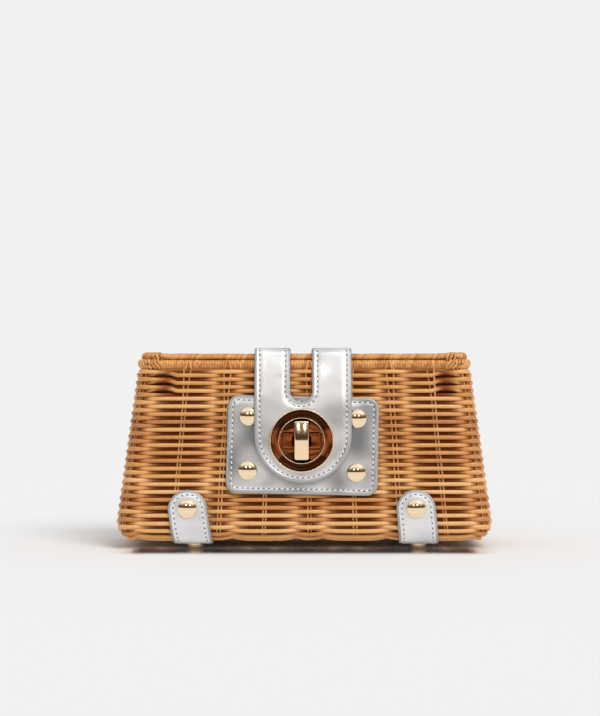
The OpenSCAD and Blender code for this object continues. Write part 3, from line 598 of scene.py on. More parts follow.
cane_tree, given = new_tree("canes_along_paths", [
    ("Radius", "Float"), ("Flatness", "Float"), ("Sides", "Int"), ("Seed", "Int"), ("Material", "Material"),
])
chain = add(cane_tree, "GeometryNodeMeshToCurve", {}, {"Mesh": given["Geometry"]})
girth = add(cane_tree, "GeometryNodeInputNamedAttribute", {"data_type": "FLOAT", "Name": "girth"})
thickness = add(cane_tree, "ShaderNodeMath", {"operation": "MULTIPLY"}, {0: girth, 1: given["Radius"]})
body = sweep(cane_tree, chain, thickness, given["Flatness"], given["Sides"], given["Seed"])
end_tree(cane_tree, body, given["Material"])


def chains(name, paths, closed, **values):
    """A mesh of chains of points, with a value for each point under each name."""
    points, edges = [], []
    for path in paths:
        first = len(points)
        points.extend(path)
        edges.extend((first + i, first + i + 1) for i in range(len(path) - 1))
        if closed:
            edges.append((first + len(path) - 1, first))
    mesh = plain_mesh(name, points, edges=edges)
    for key, numbers in {"girth": [1.0] * len(points), "hidden": [0.0] * len(points), **values}.items():
        layer = mesh.attributes.new(key, "FLOAT", "POINT")
        layer.data.foreach_set("value", np.asarray(numbers, np.float32))
    return mesh


def canes(name, paths, closed, radius, sides, seed, material, flatness=1.0, **values):
    """Canes along paths, with a radius in millimetres."""
    return grow(name, chains(name, paths, closed, **values), cane_tree, {
        "Radius": radius * MM, "Flatness": flatness, "Sides": sides, "Seed": seed, "Material": material,
    })


print("Cane tree has", len(cane_tree.nodes), "nodes")

# %% [markdown]
# ## The woven wall
# On the real bag pairs of thin stakes stand round the base, and 46 rows of cane
# run round them, over one pair and behind the next. Two rows side by side do
# the opposite. A row's place is a wave: it counts the stakes that it has
# passed, and swings out at one and in at the next. Near a rivet the inner side
# is pressed flat. At the upper corners three rows duck behind their neighbours
# and leave the open gaps.

# %% Phase of the weave
LONG_STAKES = 7
TURN = math.pi * MID_R / 2
LONG, SHORT = 2 * MID_A, 2 * MID_B


def long_stakes(start, shift):
    """Distances along the middle plan of the stakes of a long side that begins at start."""
    shares = [((k - (LONG_STAKES - 1) / 2) * STAKE_PITCH + shift) / MID_A for k in range(LONG_STAKES)]
    return [start + (share + 1) / 2 * LONG for share in shares]


def short_stakes(start):
    return [start + share * SHORT for share in (0.25, 0.75)]


front_posts = long_stakes(0, STAKE_SHIFT)
back_posts = long_stakes(LONG + SHORT + 2 * TURN, 0.0)
posts = front_posts + [LONG + TURN / 2]
posts += short_stakes(LONG + TURN) + [LONG + SHORT + 1.5 * TURN]
posts += back_posts + [2 * LONG + SHORT + 2.5 * TURN]
posts += short_stakes(2 * LONG + SHORT + 3 * TURN) + [wall_round - TURN / 2]
known = np.array([posts[-1] - wall_round] + posts + [posts[0] + wall_round])
phase = np.interp([station[4] for station in wall_plan], known, np.arange(-1, len(posts) + 1))
print("Stakes round the basket:", len(posts))

# %% Rows of the wall
CANE_OUT, CANE_HIGH = 1.05, 1.32
SWING = 1.45
DIP = 2.6
MIDDLE = WEAVE_OUT - SWING - CANE_OUT
WANDER = 0.12
UNEVEN_GIRTH = 0.06
BACK_GIRTH = 1.15
# Middle x and z and reach of the places where fastenings press the weave
PRESSED = [
    (33.3, 81.4, 7.0), (-34.4, 81.4, 7.0), (33.0, 47.8, 7.0), (-34.8, 47.8, 7.0), (-1.7, 66.6, 20.0),
    (-72.2, 25.2, 7.0), (69.0, 25.2, 7.0),
]
PRESSED_W = -2.1
GAP_ROWS = (44, 42, 40)
GAP_FROM, GAP_TO = 80.0, 97.0
DUCK_RISE = 1.9


def wave(value):
    """Swing of a row: broad where it passes over a stake, short where it dips behind one."""
    return 1 - 2 * ((1 - math.cos(math.pi * value)) / 2) ** DIP


def row_point(k, station, beat):
    """A point of row k, how far it hides behind a stake, and how thick the cane is."""
    mx, my, nx = station[:3]
    in_front = my < -0.99
    swing = wave(beat) * (1 if k % 2 == 0 else -1)
    w = MIDDLE + SWING * swing + WANDER * drift(mx * 2.5, my * 2.5, k * 3.7)
    s = (k + 0.5) * SECTION / ROWS + WANDER * drift(mx * 3, my * 3, k * 1.9 + 50)
    x, y, z = wall_point(station, s, w)
    if k in GAP_ROWS and in_front and abs(x) > GAP_FROM:
        duck = math.sin(math.pi * min(1.0, max(0.0, (abs(x) - GAP_FROM) / (GAP_TO - GAP_FROM)))) ** 0.6
        s += DUCK_RISE * duck
        w = w * (1 - duck) + (MIDDLE - SWING) * duck
        x, y, z = wall_point(station, s, w)
        swing = min(swing, 1 - 2 * duck)
    if any(math.hypot(x - px, z - pz) < reach for px, pz, reach in PRESSED):
        x, y, z = wall_point(station, s, max(w, PRESSED_W))
    girth = 1.0 if in_front and abs(nx) < 0.3 else BACK_GIRTH
    girth += UNEVEN_GIRTH * drift(mx * 4, my * 4, k * 7.1 + 9)
    return (x, y, z), max(0.0, -swing), girth


row_pieces = []
for odd, name in enumerate(("woven_rows_over", "woven_rows_under")):
    rings = [
        [row_point(k, station, beat) for station, beat in zip(wall_plan, phase)] for k in range(odd, ROWS, 2)
    ]
    # hidden paints each cane darker where it dips behind a stake, as painted shade
    row_pieces.append(canes(
        name, [[place for place, _, _ in ring] for ring in rings], True, CANE_HIGH, 10, 3 + odd, cane,
        flatness=CANE_OUT / CANE_HIGH,
        hidden=[hidden for ring in rings for _, hidden, _ in ring],
        girth=[girth for ring in rings for _, _, girth in ring],
    ))

# A plain row behind the topmost one closes the line under the rim. It is painted darker as painted shade.
filler = [wall_point(station, SECTION + 0.2, MIDDLE - 0.9) for station in wall_plan]
row_pieces.append(canes("filler_row", [filler], True, 1.0, 8, 6, cane, hidden=[0.7] * len(filler)))

# %% [markdown]
# Each stake is a pair of thin rods that stand in the middle of the weave, from
# the foot to the rim. Near the rim the two rods part a little.

# %% Stakes
ROD_R = 0.55
ROD_APART = 0.95
ROD_BEND = 0.35
SPREAD, SPREAD_RUN = 1.3, 24


def station_at(t):
    """The station at a distance along the middle plan, between its two nearest ones."""
    nearest = min(range(len(wall_plan)), key=lambda i: abs(wall_plan[i][4] - t))
    here = wall_plan[nearest]
    there = wall_plan[(nearest + (1 if t > here[4] else -1)) % len(wall_plan)]
    share = abs(t - here[4]) / (wall_round / len(wall_plan))
    return [a + (b - a) * share for a, b in zip(here[:4], there[:4])]


rods = []
for number, post in enumerate(posts):
    wide = ROD_APART * (1 + 0.5 * drift(number * 2.3, 0, 0))
    for side in (-1, 1):
        station = station_at((post + side * wide) % wall_round)
        rod = []
        for s in np.linspace(1.0, SECTION + 1.5, 40):
            x, y, z = wall_point(station, s, MIDDLE)
            spread = side * SPREAD * max(0.0, (s - SECTION + SPREAD_RUN) / SPREAD_RUN) ** 1.5
            aside = spread + ROD_BEND * drift(number * 5.1, side, s / 30)
            rod.append((x - station[3] * aside, y + station[2] * aside, z))
        rods.append(rod)
stakes = canes("stakes", rods, False, ROD_R, 8, 11, cane)

# %% [markdown]
# ## The rim, the lid and its border
# The rim and the lid's border are round cores with a thin strip of peel wound
# round them, turn beside turn. A second tree does the winding: it divides the
# path into many short steps and pushes each step out from the path, a little
# further round each time, so that the chain becomes a coil.

# %% Winding tree
POINTS_PER_TURN = 12
tree, given = new_tree("peel_wound_round_a_path", [
    ("Turn spacing", "Float"), ("Winding radius", "Float"), ("Strand radius", "Float"),
    ("Unevenness", "Float"), ("Seed", "Int"), ("Material", "Material"),
])
wind_tree = tree
path = add(tree, "GeometryNodeMeshToCurve", {}, {"Mesh": given["Geometry"]})
measured = add(tree, "GeometryNodeCurveLength", {}, {"Curve": path})
turns = add(tree, "ShaderNodeMath", {"operation": "DIVIDE"}, {0: measured, 1: given["Turn spacing"]})
turns = add(tree, "ShaderNodeMath", {"operation": "ROUND"}, {0: turns})
steps = add(tree, "ShaderNodeMath", {"operation": "MULTIPLY", 1: float(POINTS_PER_TURN)}, {0: turns})
path = add(tree, "GeometryNodeSetCurveNormal", {"mode": "Z_UP"}, {"Curve": path})
path = add(tree, "GeometryNodeResampleCurve", {}, {"Curve": path, "Count": steps})
index = add(tree, "GeometryNodeInputIndex")
angle = add(tree, "ShaderNodeMath", {"operation": "MULTIPLY", 1: 2 * math.pi / POINTS_PER_TURN}, {0: index})
across = add(tree, "GeometryNodeInputNormal")
ahead = add(tree, "GeometryNodeInputTangent")
up = add(tree, "ShaderNodeVectorMath", {"operation": "CROSS_PRODUCT"}, {0: ahead, 1: across})
cosine = add(tree, "ShaderNodeMath", {"operation": "COSINE"}, {0: angle})
sine = add(tree, "ShaderNodeMath", {"operation": "SINE"}, {0: angle})
whole = add(tree, "ShaderNodeMath", {"operation": "DIVIDE", 1: float(POINTS_PER_TURN)}, {0: index})
whole = add(tree, "ShaderNodeMath", {"operation": "FLOOR"}, {0: whole})
chance = add(
    tree, "FunctionNodeRandomValue", {"data_type": "FLOAT", 2: -1.0, 3: 1.0},
    {"ID": whole, "Seed": given["Seed"]},
)
uneven = add(tree, "ShaderNodeMath", {"operation": "MULTIPLY"}, {0: chance, 1: given["Unevenness"]})
radius = add(tree, "ShaderNodeMath", {"operation": "ADD"}, {0: uneven, 1: given["Winding radius"]})
side = add(tree, "ShaderNodeVectorMath", {"operation": "SCALE"}, {0: across, "Scale": cosine})
rise = add(tree, "ShaderNodeVectorMath", {"operation": "SCALE"}, {0: up, "Scale": sine})
push = add(tree, "ShaderNodeVectorMath", {"operation": "ADD"}, {0: side, 1: rise})
push = add(tree, "ShaderNodeVectorMath", {"operation": "SCALE"}, {0: push, "Scale": radius})
coil = add(tree, "GeometryNodeSetPosition", {}, {"Geometry": path, "Offset": push})
turn_chance = add(tree, "FunctionNodeRandomValue", {"data_type": "FLOAT", "Seed": 5}, {"ID": whole})
coil = add(
    tree, "GeometryNodeStoreNamedAttribute", {"data_type": "FLOAT", "Name": "strand"},
    {"Geometry": coil, "Value": turn_chance},
)
ring = add(tree, "GeometryNodeCurvePrimitiveCircle", {"Resolution": 7, "Radius": 1.0})
body = add(
    tree, "GeometryNodeCurveToMesh", {},
    {"Curve": coil, "Profile Curve": ring, "Scale": given["Strand radius"]},
)
body = add(tree, "GeometryNodeSetShadeSmooth", {}, {"Geometry": body})
end_tree(tree, body, given["Material"])
print("Winding tree has", len(wind_tree.nodes), "nodes")

# %% Rim roll and lid border
RIM_X, RIM_Y, RIM_Z, RIM_R = 100.95, 28.95, 114.7, 3.0
BORDER_X, BORDER_Y, BORDER_Z, BORDER_R = 99.55, 27.55, 120.5, 2.5
ROLL_CORNER = 8.4
LIFT_RUN = 7
PEEL_R, TURN_SPACING, TURN_UNEVEN = 1.5, 1.7, 0.07
# The photograph shows the border thinner than the solid's roll, and a little lower.
BORDER_SEEN_X, BORDER_SEEN_Y = BORDER_X - 0.4, BORDER_Y + 0.6
BORDER_SEEN_R, BORDER_SEEN_Z = 1.8, 119.6
LIP_R, LIP_IN, LIP_Z = 0.9, 2.8, 118.1


def roll_path(hx, hy, z, lift):
    """Middle line of a roll, with its corners lifted a little."""
    stations, _ = plan(hx, hy, ROLL_CORNER, 260)
    path = []
    for mx, my, nx, ny, _ in stations:
        near = min(abs(nx), abs(ny)) / math.sqrt(0.5)
        if abs(my) == 1:
            near = max(near, 1 - min(1.0, abs(abs(mx) - 1) * (hx - ROLL_CORNER) / LIFT_RUN))
        x = mx * (hx - ROLL_CORNER) + nx * ROLL_CORNER
        y = my * (hy - ROLL_CORNER) + ny * ROLL_CORNER
        path.append((x, y, z + lift * near + 0.25 * drift(x / 22, y / 22, z)))
    return path


# A thin cane under the border closes the line between the lid and the rim. It is painted darker as painted
# shade.
lip_path = roll_path(BORDER_X - LIP_IN, BORDER_Y - LIP_IN, LIP_Z, 0.0)
lip = canes("lid_lip", [lip_path], True, LIP_R, 8, 4, cane, hidden=[0.8] * len(lip_path))


def wound_roll(name, hx, hy, z, r, lift):
    """A roll's core and the peel wound round it."""
    path = roll_path(hx, hy, z, lift)
    # The core under the winding is painted darker as painted shade
    core = canes(f"{name}_core", [path], True, r - 0.35, 12, 2, peel, hidden=[0.6] * len(path))
    winding = grow(f"{name}_winding", chains(f"{name}_winding", [path], True), wind_tree, {
        "Turn spacing": TURN_SPACING * MM, "Winding radius": (r - PEEL_R) * MM, "Strand radius": PEEL_R * MM,
        "Unevenness": TURN_UNEVEN * MM, "Seed": 8, "Material": peel,
    })
    return core, winding


rim_roll = wound_roll("rim", RIM_X, RIM_Y, RIM_Z, RIM_R + 0.1, 0.0)
border_roll = wound_roll("border", BORDER_SEEN_X, BORDER_SEEN_Y, BORDER_SEEN_Z, BORDER_SEEN_R, 0.5)

# %% [markdown]
# Where a stake ends under the rim, its two rods bend over the roll and meet. From
# the front they show as small peaks. At the front corners of the lid a few
# turns of cane cover the join of the border and hang down over the rim.

# %% Lashings
LASH_LOW, LASH_HIGH = -95, 48
LASH_R, LASH_TUCK = 0.8, 0.9
lashes = []
for number, post in enumerate(front_posts + back_posts):
    near = min(wall_plan, key=lambda station: abs(station[4] - post))
    x = near[0] * (RIM_X - ROLL_CORNER)
    way = near[3]
    for slant in (-1, 1):
        bends = []
        for a in np.linspace(LASH_LOW, LASH_HIGH, 18):
            angle = math.radians(a)
            rise = (a - LASH_LOW) / (LASH_HIGH - LASH_LOW)
            r = RIM_R + 0.5 - LASH_TUCK * max(0.0, rise - 0.75) * 4
            apart = 0.55 + 1.9 * (1 - rise) ** 0.8 + 0.3 * drift(number, slant, 0.5)
            y = RIM_Y + r * math.cos(angle)
            bends.append((x + slant * apart, way * y, RIM_Z + r * math.sin(angle)))
        lashes.append(bends)
lashings = canes("rim_lashings", lashes, False, LASH_R, 8, 21, peel)

# %% Corner turns
TURN_R, TURN_STEP = 0.9, 11.5
# How far out of the roll's path each turn goes, and how high
LID_TURN = [
    (-1.5, 121.0), (-0.3, 121.5), (1.1, 121.3), (2.2, 120.6), (2.7, 119.6), (2.7, 118.7), (2.1, 118.1),
]
RIM_TURN_R = RIM_R + 0.35
RIM_TURN = [(RIM_TURN_R * math.cos(a), RIM_Z + RIM_TURN_R * math.sin(a))
            for a in np.radians((52, 38, 24, 10, -4, -18, -32, -45))]


def corner_turns(name, hx, hy, way, lean_back, seed):
    """Turns of cane round each front corner of a roll."""
    turns = []
    for side in (-1, 1):
        for first in np.arange(-6, 84, TURN_STEP):
            turn = []
            for j, (out, z) in enumerate(way):
                angle = math.radians(first + lean_back * j / len(way) + 3 * math.sin(j * 0.9 + first))
                turn.append((
                    side * (hx - ROLL_CORNER + (ROLL_CORNER + out) * math.sin(angle)),
                    -(hy - ROLL_CORNER + (ROLL_CORNER + out) * math.cos(angle)), z,
                ))
            turns.append(turn)
    return canes(name, turns, False, TURN_R, 10, seed, peel)


lid_turns = corner_turns("lid_corner_turns", BORDER_SEEN_X, BORDER_SEEN_Y, LID_TURN, 0.0, 15)
rim_turns = corner_turns("rim_corner_turns", RIM_X, RIM_Y, RIM_TURN, -16.0, 16)

# %% [markdown]
# The lid's panel and the bottom are woven as well. The lid has rows along the bag
# over pairs of short rods. The bottom is closer: flat rows side by side.

# %% Flat panels
PANEL_LINES = 8
PANEL_ROD_R = 0.5


def flat_weave(name, half_w, half_d, corner, z, swing, seed):
    """Rows along the bag over rods across it, inside a rounded rectangle."""
    lines = PANEL_LINES
    count = round(2 * half_d / ROW_PITCH)
    paths, hidden = [], []
    for j in range(count):
        y = (j + 0.5) * 2 * half_d / count - half_d
        past = max(0.0, abs(y) - (half_d - corner))
        reach = half_w - corner + math.sqrt(max(0.0, corner**2 - past**2))
        xs = np.linspace(-reach, reach, 15 * lines)
        beats = [wave(x / (2 * half_w) * lines + j) for x in xs]
        paths.append([(x, y, z + swing * b) for x, b in zip(xs, beats)])
        # Where a row dips under a rod it is painted darker as painted shade
        hidden.extend(max(0.0, -b) * 0.6 for b in beats)
    rows = canes(f"{name}_rows", paths, False, ROW_PITCH / 2 * 1.04, 10, seed, cane, hidden=hidden)
    cross = []
    for k in range(lines):
        x = (k + 0.5 - lines / 2) * 2 * half_w / lines
        if abs(x) < half_w - corner:
            cross.extend([[(x + d, -half_d, z), (x + d, half_d, z)] for d in (-ROD_APART, ROD_APART)])
    return rows, canes(f"{name}_rods", cross, False, PANEL_ROD_R, 8, seed + 1, cane)


lid_panel = flat_weave("lid_panel", BORDER_X - 2.0, BORDER_Y - 1.0, 6.5, BORDER_Z - 1.0, 0.8, 31)
bottom = flat_weave("bottom", HALF_W - EDGE_INSET + 1, HALF_D - EDGE_INSET + 1, 4.0, BASE_Z + 1.5, 1.0, 41)

# %% Rattan on its bodies
def dress(pieces, body):
    """Lets pieces ride on a body of the model."""
    for piece in pieces:
        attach(piece, body)


for pieces, body, node in (
    (lid_panel, "lid", "lid_panel"), (bottom, "basket", "basket_base"),
    ((*rim_roll, lashings, rim_turns), "basket", "basket_rim"),
    ((*border_roll, lid_turns, lip), "lid", "lid_border"),
    ((*row_pieces, stakes), "basket", "basket_wall"),
):
    dress(pieces, body)
    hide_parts(node)
print("Stakes, rows, rolls and panels ride on the basket and the lid")

# %% [markdown]
# ## Leather pieces
# A leather strap is cut flat, its edge is painted round, and it is then bent over
# the bag. The same is done here. An outline is drawn flat, x across and v along
# the leather. Rings inside the outline make the round edge and the shallow
# furrow of the stitches, and straight cuts across the middle let it bend. Last,
# every point is laid on the path that the leather follows over the bag.

# %% Path that leather follows
THICK = 1.6
# How far the inner face of plain straps and of the flap lies out of the wall
LEATHER_W, FLAP_W = 1.6, 5.0
FOLD_DEGREES = 18.38
FOLD_Y, FOLD_Z = -30.966, 121.635
BEND_R = BORDER_R + 0.3 + THICK / 2
PATH_STEP = 0.5


def arc(cy, cz, r, start, end, steps=12):
    angles = [math.radians(start + (end - start) * i / steps) for i in range(steps + 1)]
    return [(cy + r * math.cos(a), cz + r * math.sin(a)) for a in angles]


def lying(z, w):
    """The middle of leather that lies on the front wall, w out of it."""
    return -wall_y(z) - (w + THICK / 2) / math.cos(LEAN)


def hang(w, z_low, ease):
    """From the fold down to the wall, then along the wall. ease rounds the bend between them."""
    points = []
    for z in np.linspace(FOLD_Z, z_low, 160):
        free = FOLD_Y - (FOLD_Z - z) * math.tan(math.radians(FOLD_DEGREES))
        on_it = lying(z, w)
        points.append(((free + on_it) / 2 + math.hypot((free - on_it) / 2, ease), z))
    return points


def extended(column, margin):
    """A column of numbers, carried on in a straight line at both ends."""
    steps = np.arange(1, margin + 1)
    before = column[0] - steps[::-1] * (column[1] - column[0])
    after = column[-1] + steps * (column[-1] - column[-2])
    return np.concatenate([before, column, after])


class Path:
    """Middle line of bent leather in the side view. way is 1 where it runs to the front first.

    round_off is the number of steps over which its bends are made smooth.
    """

    def __init__(self, points, way, round_off):
        steps = np.hypot(*np.diff(np.array(points).T))
        v = np.concatenate([[0], np.cumsum(steps)])
        self.v = np.arange(0, v[-1], PATH_STEP)
        self.y, self.z = (np.interp(self.v, v, column) for column in np.array(points).T)
        if round_off:
            kernel = np.ones(round_off) / round_off
            self.y, self.z = (
                np.convolve(extended(column, round_off // 2), kernel, "valid") for column in (self.y, self.z)
            )
        self.ty, self.tz = np.gradient(self.y), np.gradient(self.z)
        self.way = way

    def at(self, x, v, t):
        """A place in space for x across, v along and t out of the middle of the leather."""
        y, z, ty, tz = (np.interp(v, self.v, c) for c in (self.y, self.z, self.ty, self.tz))
        size = math.hypot(ty, tz)
        ny, nz = self.way * tz / size, -self.way * ty / size
        return Vector((x, y + ny * t, z + nz * t)), Vector((0.0, ny, nz))

    def v_of_z(self, z, after=0.0):
        """Distance along the path at which it has come down to a height."""
        lowest = int(np.argmin(self.z))
        first = int(np.searchsorted(self.v, after))
        return float(np.interp(-z, -self.z[first : lowest + 1], self.v[first : lowest + 1]))


fold_end = 180 - FOLD_DEGREES
flap_path = Path(
    arc(BORDER_Y, BORDER_Z, BEND_R, 45, 90) + arc(-BORDER_Y, BORDER_Z, BEND_R, 90, fold_end)
    + hang(FLAP_W, 34.0, 0.7)[1:], 1, 7,
)
hinge_front = arc(-BORDER_Y, BORDER_Z, BEND_R, 135, fold_end) + hang(LEATHER_W, 70.0, 0.1)[1:]
hinge_path = Path([(-y, z) for y, z in hinge_front], -1, 0)
print("Leather from the lid's back edge to the flap's end:", round(flap_path.v[-1]), "mm")

# %% Cutting and bending
SEAM_INSET = 3.2
SEAM_HEIGHT = 0.72
EDGE_WIDTH = 1.5
SLICE_ACROSS = 3.0
# Inset from the outline and height over the middle of the leather: a round edge,
# then the face with its furrow
RINGS = [
    (THICK / 2 * (1 - math.cos(math.radians(a))), THICK / 2 * math.sin(math.radians(a)))
    for a in (-90, -60, -30, 0, 30, 60, 90)
] + [(EDGE_WIDTH, 0.84), (2.3, 0.82), (2.8, 0.66), (SEAM_INSET, 0.56), (3.6, 0.66), (4.2, 0.82)]


def inward(outline, flat_ends):
    """Inward directions at the points of a flat outline. They don't leave a flat end."""
    pts = np.array(outline)
    ahead = np.roll(pts, -1, 0) - pts
    ahead /= np.maximum(1e-9, np.hypot(*ahead.T))[:, None]
    mean = ahead + np.roll(ahead, 1, 0)
    mean /= np.maximum(1e-9, np.hypot(*mean.T))[:, None]
    area = np.sum(pts[:, 0] * np.roll(pts[:, 1], -1) - np.roll(pts[:, 0], -1) * pts[:, 1])
    turned = np.stack([-mean[:, 1], mean[:, 0]], 1) * (1 if area > 0 else -1)
    for i in flat_ends:
        turned[i] = (np.sign(turned[i][0]), 0.0)
    return turned


def leather_rings(bm, outline, flat_ends):
    """The flat piece as rings inside its outline. Its edge is painted, and its back is flesh side."""
    pts = np.array(outline)
    directions = inward(outline, flat_ends)
    rings = []
    for inset, height in RINGS:
        rings.append([bm.verts.new((x, v, height)) for x, v in pts + directions * inset])
    for (inset, height), low, high in zip(RINGS[1:], rings, rings[1:]):
        painted = inset <= EDGE_WIDTH and height > -0.7
        for i in range(len(outline)):
            j = (i + 1) % len(outline)
            bm.faces.new((low[i], low[j], high[j], high[i])).material_index = int(painted)
    bm.faces.new(rings[-1])
    bm.faces.new(list(reversed(rings[0]))).material_index = 2


def slice_leather(bm, axis, cut):
    """Cuts straight through the flat piece, across x (axis 0) or v (axis 1)."""
    normal = Vector((1 - axis, axis, 0))
    bmesh.ops.bisect_plane(
        bm, geom=bm.verts[:] + bm.edges[:] + bm.faces[:], dist=1e-4, plane_co=normal * cut, plane_no=normal,
    )


def slice_evenly(bm, outline, step, flat):
    """Even cuts along the leather and across it, away from edges that run beside them."""
    pts = np.array(outline)
    ahead = np.roll(pts, -1, 0) - pts
    for axis, spacing in ((1, step), (0, SLICE_ACROSS)):
        low = min(vert.co[axis] for vert in bm.verts)
        high = max(vert.co[axis] for vert in bm.verts)
        beside = []
        if axis == 0 or flat:
            beside = pts[np.abs(ahead[:, axis]) < 0.3 * np.abs(ahead[:, 1 - axis])][:, axis]
        for cut in np.arange(low + spacing, high, spacing):
            if not len(beside) or np.min(np.abs(beside - cut)) >= RINGS[-1][0] + 0.5:
                slice_leather(bm, axis, cut)
    bmesh.ops.remove_doubles(bm, verts=bm.verts, dist=0.15)


def open_window(bm, x_low, x_high, v_low, v_high):
    """Cuts a square hole through the flat piece and closes its sides."""
    for axis, cut in ((0, x_low), (0, x_high), (1, v_low), (1, v_high)):
        slice_leather(bm, axis, cut)

    def within(place, margin):
        return x_low - margin < place.x < x_high + margin and v_low - margin < place.y < v_high + margin

    out = [face for face in bm.faces if within(face.calc_center_median(), 0)]
    bmesh.ops.delete(bm, geom=out, context="FACES")
    rim = [
        edge for edge in bm.edges if edge.is_boundary and all(within(vert.co, 0.01) for vert in edge.verts)
    ]
    bmesh.ops.bridge_loops(bm, edges=rim)


def cut_leather(
    name, outline, path, flat_ends=(), relief=0.0, step=2.0, finish=leather, window=None, flat=False,
):
    """A piece of leather, cut flat and laid on its path. window is a hole, and flat leather has no bend."""
    bm = bmesh.new()
    leather_rings(bm, outline, flat_ends)
    slice_evenly(bm, outline, step, flat)
    if window:
        open_window(bm, *window)
    bmesh.ops.triangulate(bm, faces=[face for face in bm.faces if len(face.verts) > 4])
    uv = bm.loops.layers.uv.new("cut")
    for face in bm.faces:
        face.smooth = True
        for loop in face.loops:
            loop[uv].uv = (loop.vert.co.x / 1000, loop.vert.co.y / 1000)
    for vert in bm.verts:
        x, v, t = vert.co
        if relief and t > 0.5:
            t += relief * drift(x / 9, v / 9, len(name)) * min(1.0, (t - 0.5) / 0.3)
        vert.co = path.at(x, v, t)[0] / 1000
    bmesh.ops.recalc_face_normals(bm, faces=bm.faces)
    return link(name, finished_mesh(name, bm, (finish, edge_paint, suede)))


def seam_line(outline, path, flat_ends=()):
    """Points and surface directions along the furrow."""
    spots = np.array(outline) + inward(outline, flat_ends) * SEAM_INSET
    return [path.at(x, v, SEAM_HEIGHT) for x, v in spots]


# %% Outlines
FLAP_X, FLAP_HALF, FLAP_END_R, FLAP_END_Z = -0.8, 30.4, 30.2, 71.4
FORK_X, FORK_HALF, FORK_LOW = -2.0, 6.8, 91.6
SLOT_X, SLOT_Z = -1.7, 67.37
SLOT_HOLE_X, SLOT_HOLE_V = 12.75, 5.75
PATCH_X, PATCH_Z, PATCH_TURN = FLAP_X - 0.3, 64.6, math.radians(1.2)
PATCH_HALF_W, PATCH_HALF_H, PATCH_R = 47.0, 30.5, 7.0
STRAP_HALF = 12.2
# Height of the foot and hinge rivets, and x of the foot rivets and the feet
FOOT_RIVET_Z, HINGE_RIVET_Z = 25.2, 94.0
FOOT_RIVET_X = {"left": -72.2, "right": 69.0}
FOOT_X = {"left": -68.2, "right": 71.39}


def bow(cx, cv, r, start, end, steps):
    angles = np.radians(np.linspace(start, end, steps))
    return [(cx + r * math.cos(a), cv + r * math.sin(a)) for a in angles]


def straight(x0, v0, x1, v1, step=2.0):
    count = max(2, round(math.hypot(x1 - x0, v1 - v0) / step))
    return [(x0 + (x1 - x0) * i / count, v0 + (v1 - v0) * i / count) for i in range(count)]


shield_v = flap_path.v_of_z(FLAP_END_Z, 60)
fork_v = flap_path.v_of_z(FORK_LOW, 60) - FORK_HALF
left, right = FLAP_X - FLAP_HALF, FLAP_X + FLAP_HALF
fork_left, fork_right = FORK_X - FORK_HALF, FORK_X + FORK_HALF
round_end = bow(FLAP_X, shield_v, FLAP_END_R, 180, 0, 64)
outer_edge = straight(left, 0, FLAP_X - FLAP_END_R, shield_v) + round_end \
    + straight(FLAP_X + FLAP_END_R, shield_v, right, 0)[1:] + [(right, 0)]
inner_edge = straight(fork_right, 0, fork_right, fork_v) + bow(FORK_X, fork_v, FORK_HALF, 0, 180, 24) \
    + straight(fork_left, fork_v, fork_left, 0)[1:] + [(fork_left, 0)]
flap_outline = outer_edge + inner_edge
flap_ends = [0, len(outer_edge) - 1, len(outer_edge), len(flap_outline) - 1]


def strap_outline(half, centre_x, first, last):
    """A strap with two round ends. centre_x gives its middle at each place from first to last."""
    vs = np.arange(first, last, 1.5)
    edge = [(centre_x(v) + half, v) for v in vs]
    low = bow(centre_x(last), last, half, 0, 180, 26)
    back = [(centre_x(v) - half, v) for v in reversed(vs[1:])]
    high = bow(centre_x(first), first, half, 180, 360, 26)
    return edge + low + back + high[:-1]


heights = np.linspace(FOOT_RIVET_Z + STRAP_HALF + 6, EDGE_Z + EDGE_R * math.sin(LEAN), 20)[:-1]
foot_points = [(lying(z, LEATHER_W), z) for z in heights]
foot_points += arc(EDGE_INSET - HALF_D, EDGE_Z, EDGE_R + LEATHER_W + THICK / 2, 180 - LEAN_DEGREES, 270)
foot_path = Path(foot_points + [(-y, z) for y, z in reversed(foot_points)], 1, 5)
front_v = foot_path.v_of_z(FOOT_RIVET_Z)
back_v = float(foot_path.v[-1]) - front_v


def askew(side):
    """Middle of a foot strap, which drifts sideways from its rivet down to its foot."""
    def centre(v):
        z = float(np.interp(v, foot_path.v, foot_path.z))
        down = min(1.0, max(0.0, (FOOT_RIVET_Z - z) / FOOT_RIVET_Z))
        return FOOT_RIVET_X[side] + (FOOT_X[side] - FOOT_RIVET_X[side]) * down
    return centre


SIDES = ("left", "right")
foot_outlines = [strap_outline(STRAP_HALF, askew(side), front_v, back_v) for side in SIDES]
patch_path = Path([(lying(z, LEATHER_W), z) for z in (110.0, 20.0)], 1, 0)
patch_v = patch_path.v_of_z(PATCH_Z)


def plate_outline(half_w, half_h, r):
    """A rounded rectangle, turned a little about its middle."""
    shape = []
    for cx, cv, start in ((1, -1, -90), (1, 1, 0), (-1, 1, 90), (-1, -1, 180)):
        corner = bow(cx * (half_w - r), cv * (half_h - r), r, start, start + 90, 9)
        if shape:
            shape += straight(*shape[-1], *corner[0])[1:]
        shape += corner
    shape += straight(*shape[-1], *shape[0])[1:]
    c, s = math.cos(PATCH_TURN), math.sin(PATCH_TURN)
    return [(PATCH_X + x * c - v * s, patch_v + x * s + v * c) for x, v in shape]


